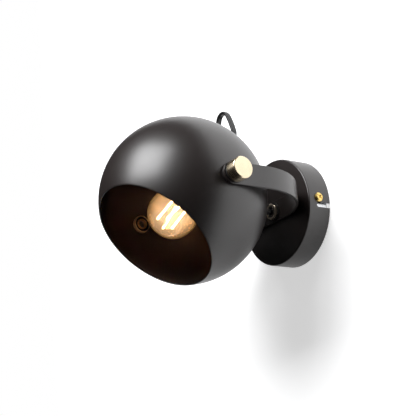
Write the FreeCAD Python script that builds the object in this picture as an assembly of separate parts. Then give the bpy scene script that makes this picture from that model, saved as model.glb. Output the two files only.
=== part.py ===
import FreeCAD, Part
import math
import os

# A pivoting ball spotlight for a wall.  Millimetres, +Z up.  The wall is the plane y = 0, the origin
# is the middle of the canopy's back on that wall, and the light stands out towards -Y.  The shade
# tilts about an axis parallel to X, and the yoke swivels about the hollow stem, which lies on Y.

# ---- driving sizes -------------------------------------------------------------------------------
canopy_diameter = 100.0
canopy_depth = 24.0
canopy_wall = 1.2
canopy_edge_radius = 1.6
pivot_stand_off = 103.0          # from the canopy's face to the tilt axis
shade_diameter = 150.0
shade_wall = 1.0
mouth_diameter = 114.0
aim_below_level = 47.5           # degrees, how far the mouth points below level at rest

strap_width = 20.0
strap_thickness = 2.5
strap_flat = 18.0                # flat stretch of the yoke that lies on the canopy
strap_edge_break = 0.4

stem_thread = 10.0               # the fine lamp thread of every hollow nipple
stem_bore = 7.2
nut_across_flats = 14.0
outer_nut_height = 2.6
inner_nut_height = 3.0
nut_chamfer = 0.8
stem_washer_diameter = 18.0
stem_washer_thickness = 0.8
lock_washer_diameter = 16.0
lock_washer_thickness = 0.8
lock_washer_teeth = 12
lock_tooth_depth = 1.2
stem_proud = 0.4                 # of the outer nut
stem_tail = 2.0                  # inside the canopy, past the inner nut

pivot_flat_diameter = 19.0       # flats pressed into the ball where the arms bear
ring_nut_diameter = 16.5
ring_nut_height = 3.2
friction_washer_diameter = 18.0
friction_washer_thickness = 2.0
knob_washer_diameter = 17.6
knob_washer_thickness = 1.4
knob_diameter = 19.4
knob_length = 11.0
knob_neck_diameter = 15.0
knob_neck_length = 1.2
knob_chamfer = 0.7
knob_bore_depth = 8.0
pivot_nipple_bore = 7.0

pole_flat_diameter = 18.0        # flat pressed into the back of the ball for the cord grip
grip_diameter = 13.0
grip_length = 12.0
grip_nose = 3.0
grip_stub_length = 9.0
grip_screw_diameter = 4.0
grip_screw_back = 5.5            # from the ball's flat to the clamp screw
flex_width = 5.4
flex_bore_clearance = 0.3
flex_grip_run = 10.0             # straight run of the flex out of the grip

holder_diameter = 40.0
holder_wall = 2.0
holder_neck_diameter = 17.0
holder_neck_length = 8.0
holder_shoulder_radius = 9.0
holder_joint_overlap = 6.0       # length of the joint between dome and sleeve
core_height = 11.0
core_gap = 0.4
liner_wall = 0.4
liner_length = 24.0
contact_height = 2.2
contact_width = 5.0
contact_sheet = 0.5

bulb_length = 76.0
globe_share = 0.587              # the globe's diameter as a share of the bulb's length
globe_forward = 18.0             # globe's centre in front of the ball's centre
bulb_neck_diameter = 25.0
neck_straight = 2.7              # straight neck that shows between the cap and the hollow curve
glass_wall = 0.8
cap_crest_diameter = 26.2
cap_thread_depth = 0.9
cap_pitch = 3.6
cap_turns = 5
cap_length = 27.0
cap_sheet = 0.5
cap_skirt = 6.0
eyelet_diameter = 9.6
eyelet_height = 1.6
insulator_height = 3.2
stem_glass_diameter = 7.0
stem_glass_length = 22.0
filament_count = 4
filament_length = 27.0
filament_diameter = 1.7
filament_circle = 15.0
filament_twist = 24.0            # degrees that each bar's top leads its foot round the axis
lead_wire_diameter = 0.7
lead_wire_inset = 0.8            # from a bar's end to the wire that holds it

bracket_sheet = 1.5
bracket_width = 20.0
bracket_bend = 3.0               # outside radius of the ears' bends
ear_clearance = 0.5              # between an ear and the canopy's inside
ear_above_screw = 6.0
wall_slot_spacing = 70.0
wall_slot_length = 12.0
wall_slot_width = 4.6
side_screw_diameter = 4.0
side_screw_head_diameter = 8.2
side_screw_head_height = 2.4
side_screw_from_wall = 13.0
side_screw_reach = 4.5           # past the ear's inner face
collar_diameter = 6.6
collar_height = 1.6
bayonet_offset = 6.7             # from the axial leg of the slot to the screw
bayonet_clearance = 0.4
cross_width = 1.1
cross_depth = 1.3

block_poles = 3
block_pitch = 9.0
block_length = 17.0              # along the wires
block_base_height = 7.0
block_height = 13.0
block_tower_diameter = 5.2
block_tower_spacing = 11.0
block_bore = 3.0
block_bore_height = 4.2
block_from_middle = 15.0         # block's middle beside the stem
block_screw_diameter = 2.5
terminal_screw_diameter = 3.0
terminal_screw_length = 5.0
earth_from_middle = 15.0
core_diameter = 1.7
core_run = 3.0                   # straight run at each end of a core
flex_stripped = 2.0              # from the stem's inner end to where the cores part
driver_slot_depth = 0.8
driver_slot_width = 0.8

# ---- fits ----------------------------------------------------------------------------------------
running_fit = 0.08               # radial, where a piece turns on a nipple
thread_fit = 0.05                # radial, where a thread is drawn plain
hole_clearance = 0.2             # radial, plain hole round a nipple or screw
running_gap = 0.1                # between faces that turn on each other
seat_gap = 0.2                   # between the glass, its cap and the holder's liner

# ---- places worked out from the sizes ------------------------------------------------------------
shade_radius = shade_diameter / 2
pivot_y = -(canopy_depth + pivot_stand_off)
mouth_plane = math.sqrt(shade_radius ** 2 - (mouth_diameter / 2) ** 2)
pivot_flat = math.sqrt(shade_radius ** 2 - (pivot_flat_diameter / 2) ** 2)
pole_flat = math.sqrt(shade_radius ** 2 - (pole_flat_diameter / 2) ** 2)
arm_inside = pivot_flat + friction_washer_thickness + running_gap
arm_outside = arm_inside + strap_thickness
knob_seat = arm_outside + running_gap + knob_washer_thickness + running_gap
pivot_nipple_end = knob_seat + knob_bore_depth - 0.5
web_face = -(canopy_depth + running_gap)               # the yoke's face towards the canopy
outer_washer_face = web_face - strap_thickness - running_gap
outer_nut_face = outer_washer_face - stem_washer_thickness
stem_mouth = outer_nut_face - outer_nut_height - stem_proud
inner_face = -(canopy_depth - canopy_wall)
inner_nut_face = inner_face + lock_washer_thickness
stem_inner_end = inner_nut_face + inner_nut_height + stem_tail
grip_mouth = pole_flat + grip_length                    # from the ball's centre, along the back pole
globe_radius = globe_share * bulb_length / 2
neck_radius = bulb_neck_diameter / 2
neck_depth = bulb_length - globe_radius - neck_straight - cap_length    # globe's centre to the neck
neck_hollow = (neck_depth ** 2 - globe_radius ** 2 + neck_radius ** 2) / 2 / (globe_radius - neck_radius)
bulb_tip = globe_forward + globe_radius - bulb_length
cap_rim = bulb_tip + cap_length
core_face = bulb_tip - contact_height
holder_base = -(pole_flat - shade_wall)
dome_back = holder_base + holder_neck_length
canopy_inside = canopy_diameter / 2 - canopy_wall
ear_face = math.sqrt(canopy_inside ** 2 - (bracket_width / 2) ** 2) - ear_clearance
thread_radius = stem_thread / 2


def pole_line(distance):
    """Point on the line through the ball's back pole, a distance from the ball's centre."""
    lean = math.radians(aim_below_level)
    return (0.0, pivot_y + distance * math.cos(lean), distance * math.sin(lean))


# The free flex: out of the stem's mouth, up behind the ball, over in the small loop that shows above
# it, and down into the grip at the ball's back pole.  Points are chosen by hand along the real route.
flex_points = [
    (0.0, stem_mouth, 0.0),
    (0.0, -38.2, 0.0),
    (-1.5, -43.0, 7.0),
    (-6.0, -44.5, 19.0),
    (-13.5, -47.5, 36.0),
    (-21.5, -52.5, 54.0),
    (-27.0, -58.0, 72.0),
    (-28.3, -60.5, 86.5),
    (-24.8, -61.0, 98.0),
    (-18.2, -61.0, 101.3),
    (-11.4, -61.0, 98.9),
    (-5.9, -61.0, 87.2),
    pole_line(grip_mouth + flex_grip_run),
    pole_line(grip_mouth),
]

up = FreeCAD.Vector(0, 0, 1)
origin = FreeCAD.Vector(0, 0, 0)


def save(node, *solids):
    """Write one node: one solid, or a group of like solids."""
    shape = solids[0] if len(solids) == 1 else Part.makeCompound(list(solids))
    for solid in shape.Solids:
        assert solid.isValid(), node
    shape.exportStep("parts/" + node + ".step")


# ---- shaping helpers -----------------------------------------------------------------------------
def turned(points):
    """Solid of revolution about Z; points are (height, radius) round the closed outline."""
    corners = [FreeCAD.Vector(radius, 0, height) for height, radius in points]
    outline = Part.makePolygon(corners + corners[:1])
    return Part.Face(outline).revolve(origin, up, 360)


def ring(inner_radius, outer_radius, low, high):
    """Plain tube or washer round Z, from height low to height high."""
    body = Part.makeCylinder(outer_radius, high - low, FreeCAD.Vector(0, 0, low))
    return body.cut(Part.makeCylinder(inner_radius, high - low, FreeCAD.Vector(0, 0, low)))


def slab(x_low, x_high, y_low, y_high, z_low, z_high):
    corner = FreeCAD.Vector(x_low, y_low, z_low)
    return Part.makeBox(x_high - x_low, y_high - y_low, z_high - z_low, corner)


def hex_nut(flats, height, bore_radius):
    """Hexagon nut on Z from 0 to height, its corners chamfered at both faces."""
    corner = flats / math.sqrt(3)
    points = [FreeCAD.Vector(corner * math.cos(k * math.pi / 3), corner * math.sin(k * math.pi / 3), 0)
              for k in range(6)]
    prism = Part.Face(Part.makePolygon(points + points[:1])).extrude(FreeCAD.Vector(0, 0, height))
    face_radius = flats / 2 - 0.2
    rise = nut_chamfer * (corner - face_radius) / (corner - flats / 2 + nut_chamfer)
    cone = turned([(0, 0), (0, face_radius), (rise, corner), (height - rise, corner),
                   (height, face_radius), (height, 0)])
    return prism.common(cone).cut(Part.makeCylinder(bore_radius, height))


def cross_recess(shape, top):
    """Cut a cross recess into a screw head whose face is at height top on Z."""
    length = cross_width * 4
    for angle in (0, 90):
        bar = slab(-length / 2, length / 2, -cross_width / 2, cross_width / 2, top - cross_depth, top)
        bar.rotate(origin, up, angle)
        shape = shape.cut(bar)
    return shape


def slotted(shape, top, length):
    """Cut one straight driver slot into a face at height top on Z."""
    half = driver_slot_width / 2
    return shape.cut(slab(-length, length, -half, half, top - driver_slot_depth, top))


def on_x(shape, side):
    """Turn a shape made along Z so that it points out along X on the given side of the ball."""
    shape = shape.copy()
    shape.rotate(origin, FreeCAD.Vector(0, 1, 0), 90 * side)
    shape.translate(FreeCAD.Vector(0, pivot_y, 0))
    return shape


def on_y(shape):
    """Turn a shape made along Z so that it stands out from the wall: height z becomes y = -z."""
    shape = shape.copy()
    shape.rotate(origin, FreeCAD.Vector(1, 0, 0), 90)
    return shape


def aimed(shape):
    """Turn a shape made along Z, mouth upwards and centred on the ball, to where the light points."""
    shape = shape.copy()
    shape.rotate(origin, FreeCAD.Vector(1, 0, 0), 90 + aim_below_level)
    shape.translate(FreeCAD.Vector(0, pivot_y, 0))
    return shape


def rounded_route(points):
    """Straight runs joined by tangent arcs, each as large as its two runs allow."""
    corners = [FreeCAD.Vector(*point) for point in points]
    edges = []
    radii = []
    start = corners[0]
    for before, corner, after in zip(corners, corners[1:], corners[2:]):
        inward = (before - corner).normalize()
        outward = (after - corner).normalize()
        half_turn = (math.pi - inward.getAngle(outward)) / 2
        reach = 0.45 * min(before.distanceToPoint(corner), after.distanceToPoint(corner))
        radius = reach / math.tan(half_turn)
        bisector = (inward + outward).normalize()
        middle = corner + bisector * (radius / math.cos(half_turn) - radius)
        first = corner + inward * reach
        last = corner + outward * reach
        edges.append(Part.LineSegment(start, first).toShape())
        edges.append(Part.Arc(first, middle, last).toShape())
        radii.append(radius)
        start = last
    edges.append(Part.LineSegment(start, corners[-1]).toShape())
    return Part.Wire(edges), radii


def tube_along(points, radius, name):
    """Round tube along a rounded route, its volume compared with section times length."""
    path, radii = rounded_route(points)
    heading = FreeCAD.Vector(*points[1]) - FreeCAD.Vector(*points[0])
    section = Part.Wire(Part.makeCircle(radius, FreeCAD.Vector(*points[0]), heading))
    tube = path.makePipeShell([section], True, False)
    share = tube.Volume / (math.pi * radius ** 2 * path.Length)
    print(name, "length %.1f" % path.Length, "volume share %.4f" % share,
          "radii", " ".join("%.1f" % value for value in radii))
    return tube


# ---- wall plate and canopy -----------------------------------------------------------------------
def wall_bracket():
    """Zinced strap on the wall, its two ears bent forward and tapped for the side screws."""
    half = bracket_width / 2
    ear_top = side_screw_from_wall + ear_above_screw
    inner_bend = bracket_bend - bracket_sheet
    outside = slab(-ear_face, ear_face, -ear_top, 0, -half, half)
    bend_edges = [edge for edge in outside.Edges
                  if abs(edge.CenterOfMass.y) < 1e-6 and abs(edge.CenterOfMass.x) > ear_face - 1e-6]
    outside = outside.makeFillet(bracket_bend, bend_edges)
    reach = ear_face - bracket_sheet
    inside = slab(-reach, reach, -ear_top, -bracket_sheet, -half, half)
    bend_edges = [edge for edge in inside.Edges
                  if abs(edge.CenterOfMass.y + bracket_sheet) < 1e-6
                  and abs(edge.CenterOfMass.x) > reach - 1e-6]
    inside = inside.makeFillet(inner_bend, bend_edges)
    strap = outside.cut(inside)
    ear_outline = Part.makeCylinder(half, 2 * ear_face, FreeCAD.Vector(-ear_face, -(ear_top - half), 0),
                                    FreeCAD.Vector(1, 0, 0))
    ear_outline = ear_outline.fuse(slab(-ear_face, ear_face, -(ear_top - half), 0, -half, half))
    strap = strap.common(ear_outline)
    screw_axis = FreeCAD.Vector(1, 0, 0)
    for side in (1, -1):
        root = FreeCAD.Vector(side * (reach - collar_height), -side_screw_from_wall, 0)
        collar = Part.makeCylinder(collar_diameter / 2, collar_height, root, screw_axis * side)
        strap = strap.fuse(collar)
        hole = Part.makeCylinder(side_screw_diameter / 2 + thread_fit, collar_height + bracket_sheet,
                                 root, screw_axis * side)
        strap = strap.cut(hole)
        strap = strap.cut(wall_slot(side * wall_slot_spacing / 2))
    tapped = [(earth_from_middle, 0.0, side_screw_diameter)]
    for place in block_screw_places():
        tapped.append((-block_from_middle, -place, block_screw_diameter))
    for along, across, size in tapped:
        hole = Part.makeCylinder(size / 2 + thread_fit, bracket_sheet,
                                 FreeCAD.Vector(along, 0, across), FreeCAD.Vector(0, -1, 0))
        strap = strap.cut(hole)
    return strap.removeSplitter()


def wall_slot(middle):
    """Long slot along X for a wall screw, right through the strap."""
    radius = wall_slot_width / 2
    straight = wall_slot_length / 2 - radius
    tool = slab(middle - straight, middle + straight, -bracket_sheet, 0, -radius, radius)
    for end in (-straight, straight):
        tool = tool.fuse(Part.makeCylinder(radius, bracket_sheet, FreeCAD.Vector(middle + end, 0, 0),
                                           FreeCAD.Vector(0, -1, 0)))
    return tool


def bayonet_tool():
    """L-shaped cut in the canopy's side: an axial leg from the rim, then a short leg to the screw."""
    radius = side_screw_diameter / 2 + bayonet_clearance / 2
    inner = canopy_diameter / 2 - canopy_wall - 1.0
    outer = canopy_diameter / 2 + 1.0
    turn = math.degrees(math.asin(bayonet_offset / (canopy_diameter / 2)))
    screw_end = Part.makeCylinder(radius, outer - inner, FreeCAD.Vector(inner, -side_screw_from_wall, 0),
                                  FreeCAD.Vector(1, 0, 0))
    across = slab(inner, outer, -side_screw_from_wall - radius, -side_screw_from_wall + radius,
                  -bayonet_offset, 0)
    corner = screw_end.copy()
    corner.rotate(origin, FreeCAD.Vector(0, 1, 0), turn)
    axial = slab(inner, outer, -side_screw_from_wall, 0, -radius, radius)
    axial.rotate(origin, FreeCAD.Vector(0, 1, 0), turn)
    return screw_end.fuse([across, corner, axial])


def canopy():
    """Pressed steel cup, open to the wall, with a rounded front edge and two bayonet slots."""
    radius = canopy_diameter / 2
    inner = radius - canopy_wall
    cup = Part.makeCylinder(radius, canopy_depth)
    front_edge = [edge for edge in cup.Edges if abs(edge.CenterOfMass.z - canopy_depth) < 1e-6
                  and edge.Closed]
    cup = cup.makeFillet(canopy_edge_radius, front_edge)
    hollow = Part.makeCylinder(inner, canopy_depth - canopy_wall)
    inner_edge = [edge for edge in hollow.Edges
                  if abs(edge.CenterOfMass.z - (canopy_depth - canopy_wall)) < 1e-6 and edge.Closed]
    hollow = hollow.makeFillet(canopy_edge_radius / 2, inner_edge)
    cup = cup.cut(hollow)
    cup = cup.cut(Part.makeCylinder(thread_radius + hole_clearance, canopy_depth))
    cup = on_y(cup)
    tool = bayonet_tool()
    other = tool.copy()
    other.rotate(origin, FreeCAD.Vector(0, 1, 0), 180)
    return cup.cut(tool).cut(other)


def side_screw(side):
    """Cross-recessed brass screw that holds the canopy to one ear."""
    head_seat = canopy_diameter / 2
    tip = ear_face - bracket_sheet - side_screw_reach
    head_radius = side_screw_head_diameter / 2
    shank = Part.makeCylinder(side_screw_diameter / 2, head_seat - tip, FreeCAD.Vector(0, 0, tip))
    head = turned([(head_seat, 0), (head_seat, head_radius),
                   (head_seat + side_screw_head_height * 0.55, head_radius),
                   (head_seat + side_screw_head_height, head_radius * 0.72),
                   (head_seat + side_screw_head_height, 0)])
    screw = cross_recess(shank.fuse(head), head_seat + side_screw_head_height)
    screw.rotate(origin, up, 45)
    screw.rotate(origin, FreeCAD.Vector(0, 1, 0), 90 * side)
    screw.translate(FreeCAD.Vector(0, -side_screw_from_wall, 0))
    return screw


def pole_places():
    """Places of the poles across the block, evenly about its middle."""
    return [(pole - (block_poles - 1) / 2) * block_pitch for pole in range(block_poles)]


def block_screw_places():
    """Places of the fixing screws, midway between neighbouring poles."""
    return [place + block_pitch / 2 for place in pole_places()[:-1]]


def terminal_block():
    """Insulating block on the bracket: a base with wire bores along X, and a tower over each screw."""
    half = block_length / 2
    width = block_poles * block_pitch
    block = slab(-half, half, -width / 2, width / 2, 0, block_base_height)
    towers = []
    tools = []
    for place in pole_places():
        for end in (-block_tower_spacing / 2, block_tower_spacing / 2):
            centre = FreeCAD.Vector(end, place, 0)
            towers.append(Part.makeCylinder(block_tower_diameter / 2, block_height, centre))
            foot = FreeCAD.Vector(end, place, block_bore_height)
            tools.append(Part.makeCylinder(terminal_screw_diameter / 2 + thread_fit, block_height, foot))
        tools.append(Part.makeCylinder(block_bore / 2, block_length,
                                       FreeCAD.Vector(-half, place, block_bore_height),
                                       FreeCAD.Vector(1, 0, 0)))
    for place in block_screw_places():
        tools.append(Part.makeCylinder(block_screw_diameter / 2 + hole_clearance, block_height,
                                       FreeCAD.Vector(0, place, 0)))
    block = block.fuse(towers).cut(tools)
    return on_bracket(block, -block_from_middle)


def on_bracket(shape, place):
    """Stand a shape made on Z from 0 upwards on the strap, at a place along X."""
    shape = on_y(shape)
    shape.translate(FreeCAD.Vector(place, -bracket_sheet, 0))
    return shape


def terminal_screws():
    """Slotted screws, two to a pole, sunk in the block's towers down to the wire bore."""
    screws = []
    for place in pole_places():
        for end in (-block_tower_spacing / 2, block_tower_spacing / 2):
            screw = Part.makeCylinder(terminal_screw_diameter / 2, terminal_screw_length)
            screw = slotted(screw, terminal_screw_length, terminal_screw_diameter)
            screw.translate(FreeCAD.Vector(end, place, block_bore_height + block_bore / 2))
            screws.append(on_bracket(screw, -block_from_middle))
    return screws


def pan_screw(diameter, under_head, length):
    """Slotted pan-head screw on Z; its head sits at height under_head, its shank goes down."""
    head_radius = diameter * 0.95
    head = turned([(under_head, 0), (under_head, head_radius), (under_head + diameter * 0.4, head_radius),
                   (under_head + diameter * 0.6, head_radius * 0.7), (under_head + diameter * 0.6, 0)])
    shank = Part.makeCylinder(diameter / 2, length, FreeCAD.Vector(0, 0, under_head - length))
    return slotted(shank.fuse(head), under_head + diameter * 0.6, diameter)


def earth_screw():
    """Earth screw in the bracket's other half."""
    return on_bracket(pan_screw(side_screw_diameter, 0.0, bracket_sheet), earth_from_middle)


def block_screws():
    """Screws between the poles that hold the terminal block to the bracket."""
    screws = []
    for place in block_screw_places():
        screw = pan_screw(block_screw_diameter, block_base_height, block_base_height + bracket_sheet)
        screw.translate(FreeCAD.Vector(0, place, 0))
        screws.append(on_bracket(screw, -block_from_middle))
    return screws


# ---- hollow stem and its fastenings --------------------------------------------------------------
def stem_nipple():
    return on_y(ring(stem_bore / 2, thread_radius, -stem_inner_end, -stem_mouth))


def stem_outer_nut():
    nut = hex_nut(nut_across_flats, outer_nut_height, thread_radius + thread_fit)
    nut.translate(FreeCAD.Vector(0, 0, -outer_nut_face))
    return on_y(nut)


def stem_inner_nut():
    nut = hex_nut(nut_across_flats, inner_nut_height, thread_radius + thread_fit)
    nut.translate(FreeCAD.Vector(0, 0, -inner_nut_face - inner_nut_height))
    return on_y(nut)


def stem_washer():
    return on_y(ring(thread_radius + hole_clearance, stem_washer_diameter / 2,
                     -outer_washer_face, -outer_nut_face))


def lock_washer():
    """Toothed washer between the canopy and the inner nut."""
    radius = lock_washer_diameter / 2
    washer = ring(thread_radius + hole_clearance, radius, 0, lock_washer_thickness)
    for tooth in range(lock_washer_teeth):
        gap = slab(radius - lock_tooth_depth, radius + 1, -0.5, 0.5, 0, lock_washer_thickness)
        gap.rotate(origin, up, 360 / lock_washer_teeth * tooth)
        washer = washer.cut(gap)
    washer.translate(FreeCAD.Vector(0, 0, -inner_nut_face))
    return on_y(washer)


# ---- yoke ----------------------------------------------------------------------------------------
def yoke():
    """Flat strap bent to a U in plan, its arms rounded off about the tilt axis."""
    flat = strap_flat / 2
    outer_radius = arm_outside - flat
    inner_radius = outer_radius - strap_thickness
    bend_y = web_face - outer_radius
    end_y = pivot_y - strap_width / 2
    slant = math.sqrt(0.5)

    def side_of_u(radius, reach):
        """Half outline from the arm's end to the flat's edge: a line, then a quarter turn."""
        start = FreeCAD.Vector(reach, end_y, 0)
        bend_start = FreeCAD.Vector(reach, bend_y, 0)
        bend_middle = FreeCAD.Vector(flat + radius * slant, bend_y + radius * slant, 0)
        bend_end = FreeCAD.Vector(flat, bend_y + radius, 0)
        return start, bend_start, bend_middle, bend_end

    def mirrored(point):
        return FreeCAD.Vector(-point.x, point.y, point.z)

    outer = side_of_u(outer_radius, arm_outside)
    inner = side_of_u(inner_radius, arm_inside)
    edges = []
    for start, bend_start, bend_middle, bend_end in (outer, inner):
        edges.append(Part.LineSegment(start, bend_start).toShape())
        edges.append(Part.Arc(bend_start, bend_middle, bend_end).toShape())
        edges.append(Part.LineSegment(bend_end, mirrored(bend_end)).toShape())
        edges.append(Part.Arc(mirrored(bend_end), mirrored(bend_middle), mirrored(bend_start)).toShape())
        edges.append(Part.LineSegment(mirrored(bend_start), mirrored(start)).toShape())
    edges.append(Part.LineSegment(outer[0], inner[0]).toShape())
    edges.append(Part.LineSegment(mirrored(outer[0]), mirrored(inner[0])).toShape())
    outline = Part.Face(Part.Wire(Part.__sortEdges__(edges)))
    strap = outline.extrude(FreeCAD.Vector(0, 0, strap_width))
    strap.translate(FreeCAD.Vector(0, 0, -strap_width / 2))
    across = 2 * arm_outside
    side_view = Part.makeCylinder(strap_width / 2, across, FreeCAD.Vector(-arm_outside, pivot_y, 0),
                                  FreeCAD.Vector(1, 0, 0))
    side_view = side_view.fuse(slab(-arm_outside, arm_outside, pivot_y, 0, -strap_width / 2,
                                    strap_width / 2))
    strap = strap.common(side_view).removeSplitter()
    strap = strap.makeChamfer(strap_edge_break, long_edges(strap))
    pivot_hole = Part.makeCylinder(thread_radius + running_fit, across,
                                   FreeCAD.Vector(-arm_outside, pivot_y, 0), FreeCAD.Vector(1, 0, 0))
    stem_hole = Part.makeCylinder(thread_radius + running_fit, strap_thickness + 1,
                                  FreeCAD.Vector(0, web_face + 0.5, 0), FreeCAD.Vector(0, -1, 0))
    return strap.cut(pivot_hole).cut(stem_hole)


def long_edges(strap):
    """Every edge of the strap that bounds one of its two broad faces."""
    found = []
    for edge in strap.Edges:
        box = edge.BoundBox
        upright = box.ZLength > strap_width - 0.01 and box.XLength < 0.01 and box.YLength < 0.01
        through = box.ZLength < 0.01 and max(box.XLength, box.YLength) < strap_thickness + 0.01
        if not upright and not through:
            found.append(edge)
    return found


# ---- shade and its pivots ------------------------------------------------------------------------
def shade():
    """Spun ball with pressed flats at the two pivots and the back pole, open at the mouth."""
    def flattened(radius, inset):
        limit = pivot_flat - inset
        ball = Part.makeSphere(radius)
        return ball.common(slab(-limit, limit, -radius, radius, -(pole_flat - inset), radius))

    shell = flattened(shade_radius, 0).cut(flattened(shade_radius - shade_wall, shade_wall))
    shell = shell.cut(slab(-shade_radius, shade_radius, -shade_radius, shade_radius,
                           mouth_plane, shade_radius + 1))
    hole = thread_radius + hole_clearance
    pivot_holes = Part.makeCylinder(hole, shade_diameter, FreeCAD.Vector(-shade_radius, 0, 0),
                                    FreeCAD.Vector(1, 0, 0))
    pole_hole = Part.makeCylinder(hole, shade_radius, FreeCAD.Vector(0, 0, -shade_radius))
    return aimed(shell.cut(pivot_holes).cut(pole_hole))


def pivot_nipple():
    """Hollow threaded tube through the ball's wall, the arm and into the knob."""
    inner_end = pivot_flat - shade_wall - ring_nut_height
    return ring(pivot_nipple_bore / 2, thread_radius, inner_end, pivot_nipple_end)


def pivot_ring_nut():
    """Round nut inside the ball, its outer corner rounded off."""
    seat = pivot_flat - shade_wall
    outer = ring_nut_diameter / 2
    bore = thread_radius + thread_fit
    return turned([(seat, bore), (seat, outer), (seat - ring_nut_height + 0.6, outer),
                   (seat - ring_nut_height, outer - 0.6), (seat - ring_nut_height, bore)])


def friction_washer():
    return ring(thread_radius + hole_clearance, friction_washer_diameter / 2, pivot_flat,
                pivot_flat + friction_washer_thickness)


def knob_washer():
    seat = arm_outside + running_gap
    return ring(thread_radius + hole_clearance, knob_washer_diameter / 2, seat,
                seat + knob_washer_thickness)


def knob():
    """Turned brass thumb nut: a short neck, a plain barrel and a chamfered flat face."""
    neck = knob_neck_diameter / 2
    radius = knob_diameter / 2
    face = knob_seat + knob_neck_length + knob_length
    shoulder = knob_seat + knob_neck_length
    bore = thread_radius + running_fit
    return turned([(knob_seat, bore), (knob_seat, neck), (shoulder, neck), (shoulder, radius - 0.3),
                   (shoulder + 0.3, radius), (face - knob_chamfer, radius),
                   (face, radius - knob_chamfer), (face, 0), (knob_seat + knob_bore_depth, 0),
                   (knob_seat + knob_bore_depth, bore)])


# ---- cord grip and lampholder --------------------------------------------------------------------
def cord_grip():
    """Moulded grip screwed through the ball's back into the holder's neck."""
    radius = grip_diameter / 2
    bore = flex_width / 2 + flex_bore_clearance
    outline = [(-pole_flat + grip_stub_length, bore), (-pole_flat + grip_stub_length, thread_radius),
               (-pole_flat, thread_radius), (-pole_flat, radius),
               (-grip_mouth + grip_nose, radius), (-grip_mouth, bore + 1.2), (-grip_mouth, bore)]
    grip = turned(outline)
    screw_hole = Part.makeCylinder(grip_screw_diameter / 2 + thread_fit, radius,
                                   FreeCAD.Vector(0, 0, -pole_flat - grip_screw_back),
                                   FreeCAD.Vector(1, 0, 0))
    return aimed(grip.cut(screw_hole))


def grip_screw():
    """Nylon screw in the grip's side that pinches the flex."""
    tip = flex_width / 2
    length = grip_diameter / 2 - tip
    screw = slotted(Part.makeCylinder(grip_screw_diameter / 2, length), length, grip_screw_diameter)
    screw.rotate(origin, FreeCAD.Vector(0, 1, 0), 90)
    screw.translate(FreeCAD.Vector(tip, 0, -pole_flat - grip_screw_back))
    return aimed(screw)


def holder_dome():
    """Rear half of the lampholder: a threaded neck, a rounded shoulder and a straight wall."""
    outer = holder_diameter / 2
    inner = outer - holder_wall
    neck = holder_neck_diameter / 2
    bore = thread_radius + thread_fit
    shoulder = holder_shoulder_radius
    front = core_face - core_height + holder_joint_overlap
    slant = math.sqrt(0.5)

    def vector(height, radius):
        return FreeCAD.Vector(radius, 0, height)

    outer_arc = Part.Arc(vector(dome_back, outer - shoulder),
                         vector(dome_back + shoulder * (1 - slant), outer - shoulder * (1 - slant)),
                         vector(dome_back + shoulder, outer))
    turn = shoulder - holder_wall
    back = dome_back + holder_wall
    inner_arc = Part.Arc(vector(back + turn, inner),
                         vector(back + turn * (1 - slant), inner - turn * (1 - slant)),
                         vector(back, inner - turn))
    corners = [vector(dome_back + shoulder, outer), vector(front, outer), vector(front, inner),
               vector(back + turn, inner)]
    tail = [vector(back, inner - turn), vector(back, bore), vector(holder_base, bore),
            vector(holder_base, neck), vector(dome_back, neck), vector(dome_back, outer - shoulder)]
    edges = [outer_arc.toShape()]
    edges += [Part.LineSegment(a, b).toShape() for a, b in zip(corners, corners[1:])]
    edges.append(inner_arc.toShape())
    edges += [Part.LineSegment(a, b).toShape() for a, b in zip(tail, tail[1:])]
    return aimed(Part.Face(Part.Wire(edges)).revolve(origin, up, 360))


def holder_sleeve():
    """Front half of the lampholder, its reduced rear end screwed into the dome."""
    outer = holder_diameter / 2
    spigot = outer - holder_wall - thread_fit
    inner = liner_outside() + seat_gap
    joint = core_face - core_height + holder_joint_overlap
    back = joint - holder_joint_overlap + core_gap
    front = core_face + liner_length + core_gap
    pocket = core_face + core_gap
    return aimed(turned([(back, core_radius() + core_gap / 2), (back, spigot), (joint, spigot),
                         (joint, outer), (front - 1.5, outer), (front, outer - 1.5),
                         (front, inner), (pocket, inner), (pocket, core_radius() + core_gap / 2)]))


def liner_outside():
    return cap_crest_diameter / 2 + seat_gap + liner_wall


def core_radius():
    return holder_diameter / 2 - 2 * holder_wall - thread_fit


def holder_core():
    """Ceramic insert: a disc that carries the contacts, with a rib each side at the back."""
    back = core_face - core_height
    disc = Part.makeCylinder(core_radius(), core_height - 3, FreeCAD.Vector(0, 0, back + 3))
    for side in (1, -1):
        rib = slab(side * 6 - 2.5, side * 6 + 2.5, -core_radius() * 0.7, core_radius() * 0.7, back, back + 3)
        disc = disc.fuse(rib)
    return aimed(disc.removeSplitter())


def holder_liner():
    """Thin brass screw shell that takes the bulb's cap, closed by a flange on the core."""
    outside = liner_outside()
    inside = outside - liner_wall
    return aimed(turned([(core_face, outside - 5), (core_face, outside),
                         (core_face + liner_length, outside), (core_face + liner_length, inside),
                         (core_face + liner_wall, inside), (core_face + liner_wall, outside - 5)]))


def centre_contact():
    """Sprung brass tongue, bent back over itself, that meets the bulb's tip."""
    half = contact_width / 2
    length = contact_width + 2
    outer = slab(-length / 2, length / 2, -half, half, 0, contact_height)
    inner = slab(-length / 2 + contact_sheet, length / 2, -half, half, contact_sheet,
                 contact_height - contact_sheet)
    tongue = outer.cut(inner)
    tongue.translate(FreeCAD.Vector(0, 0, core_face))
    return aimed(tongue)


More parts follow.
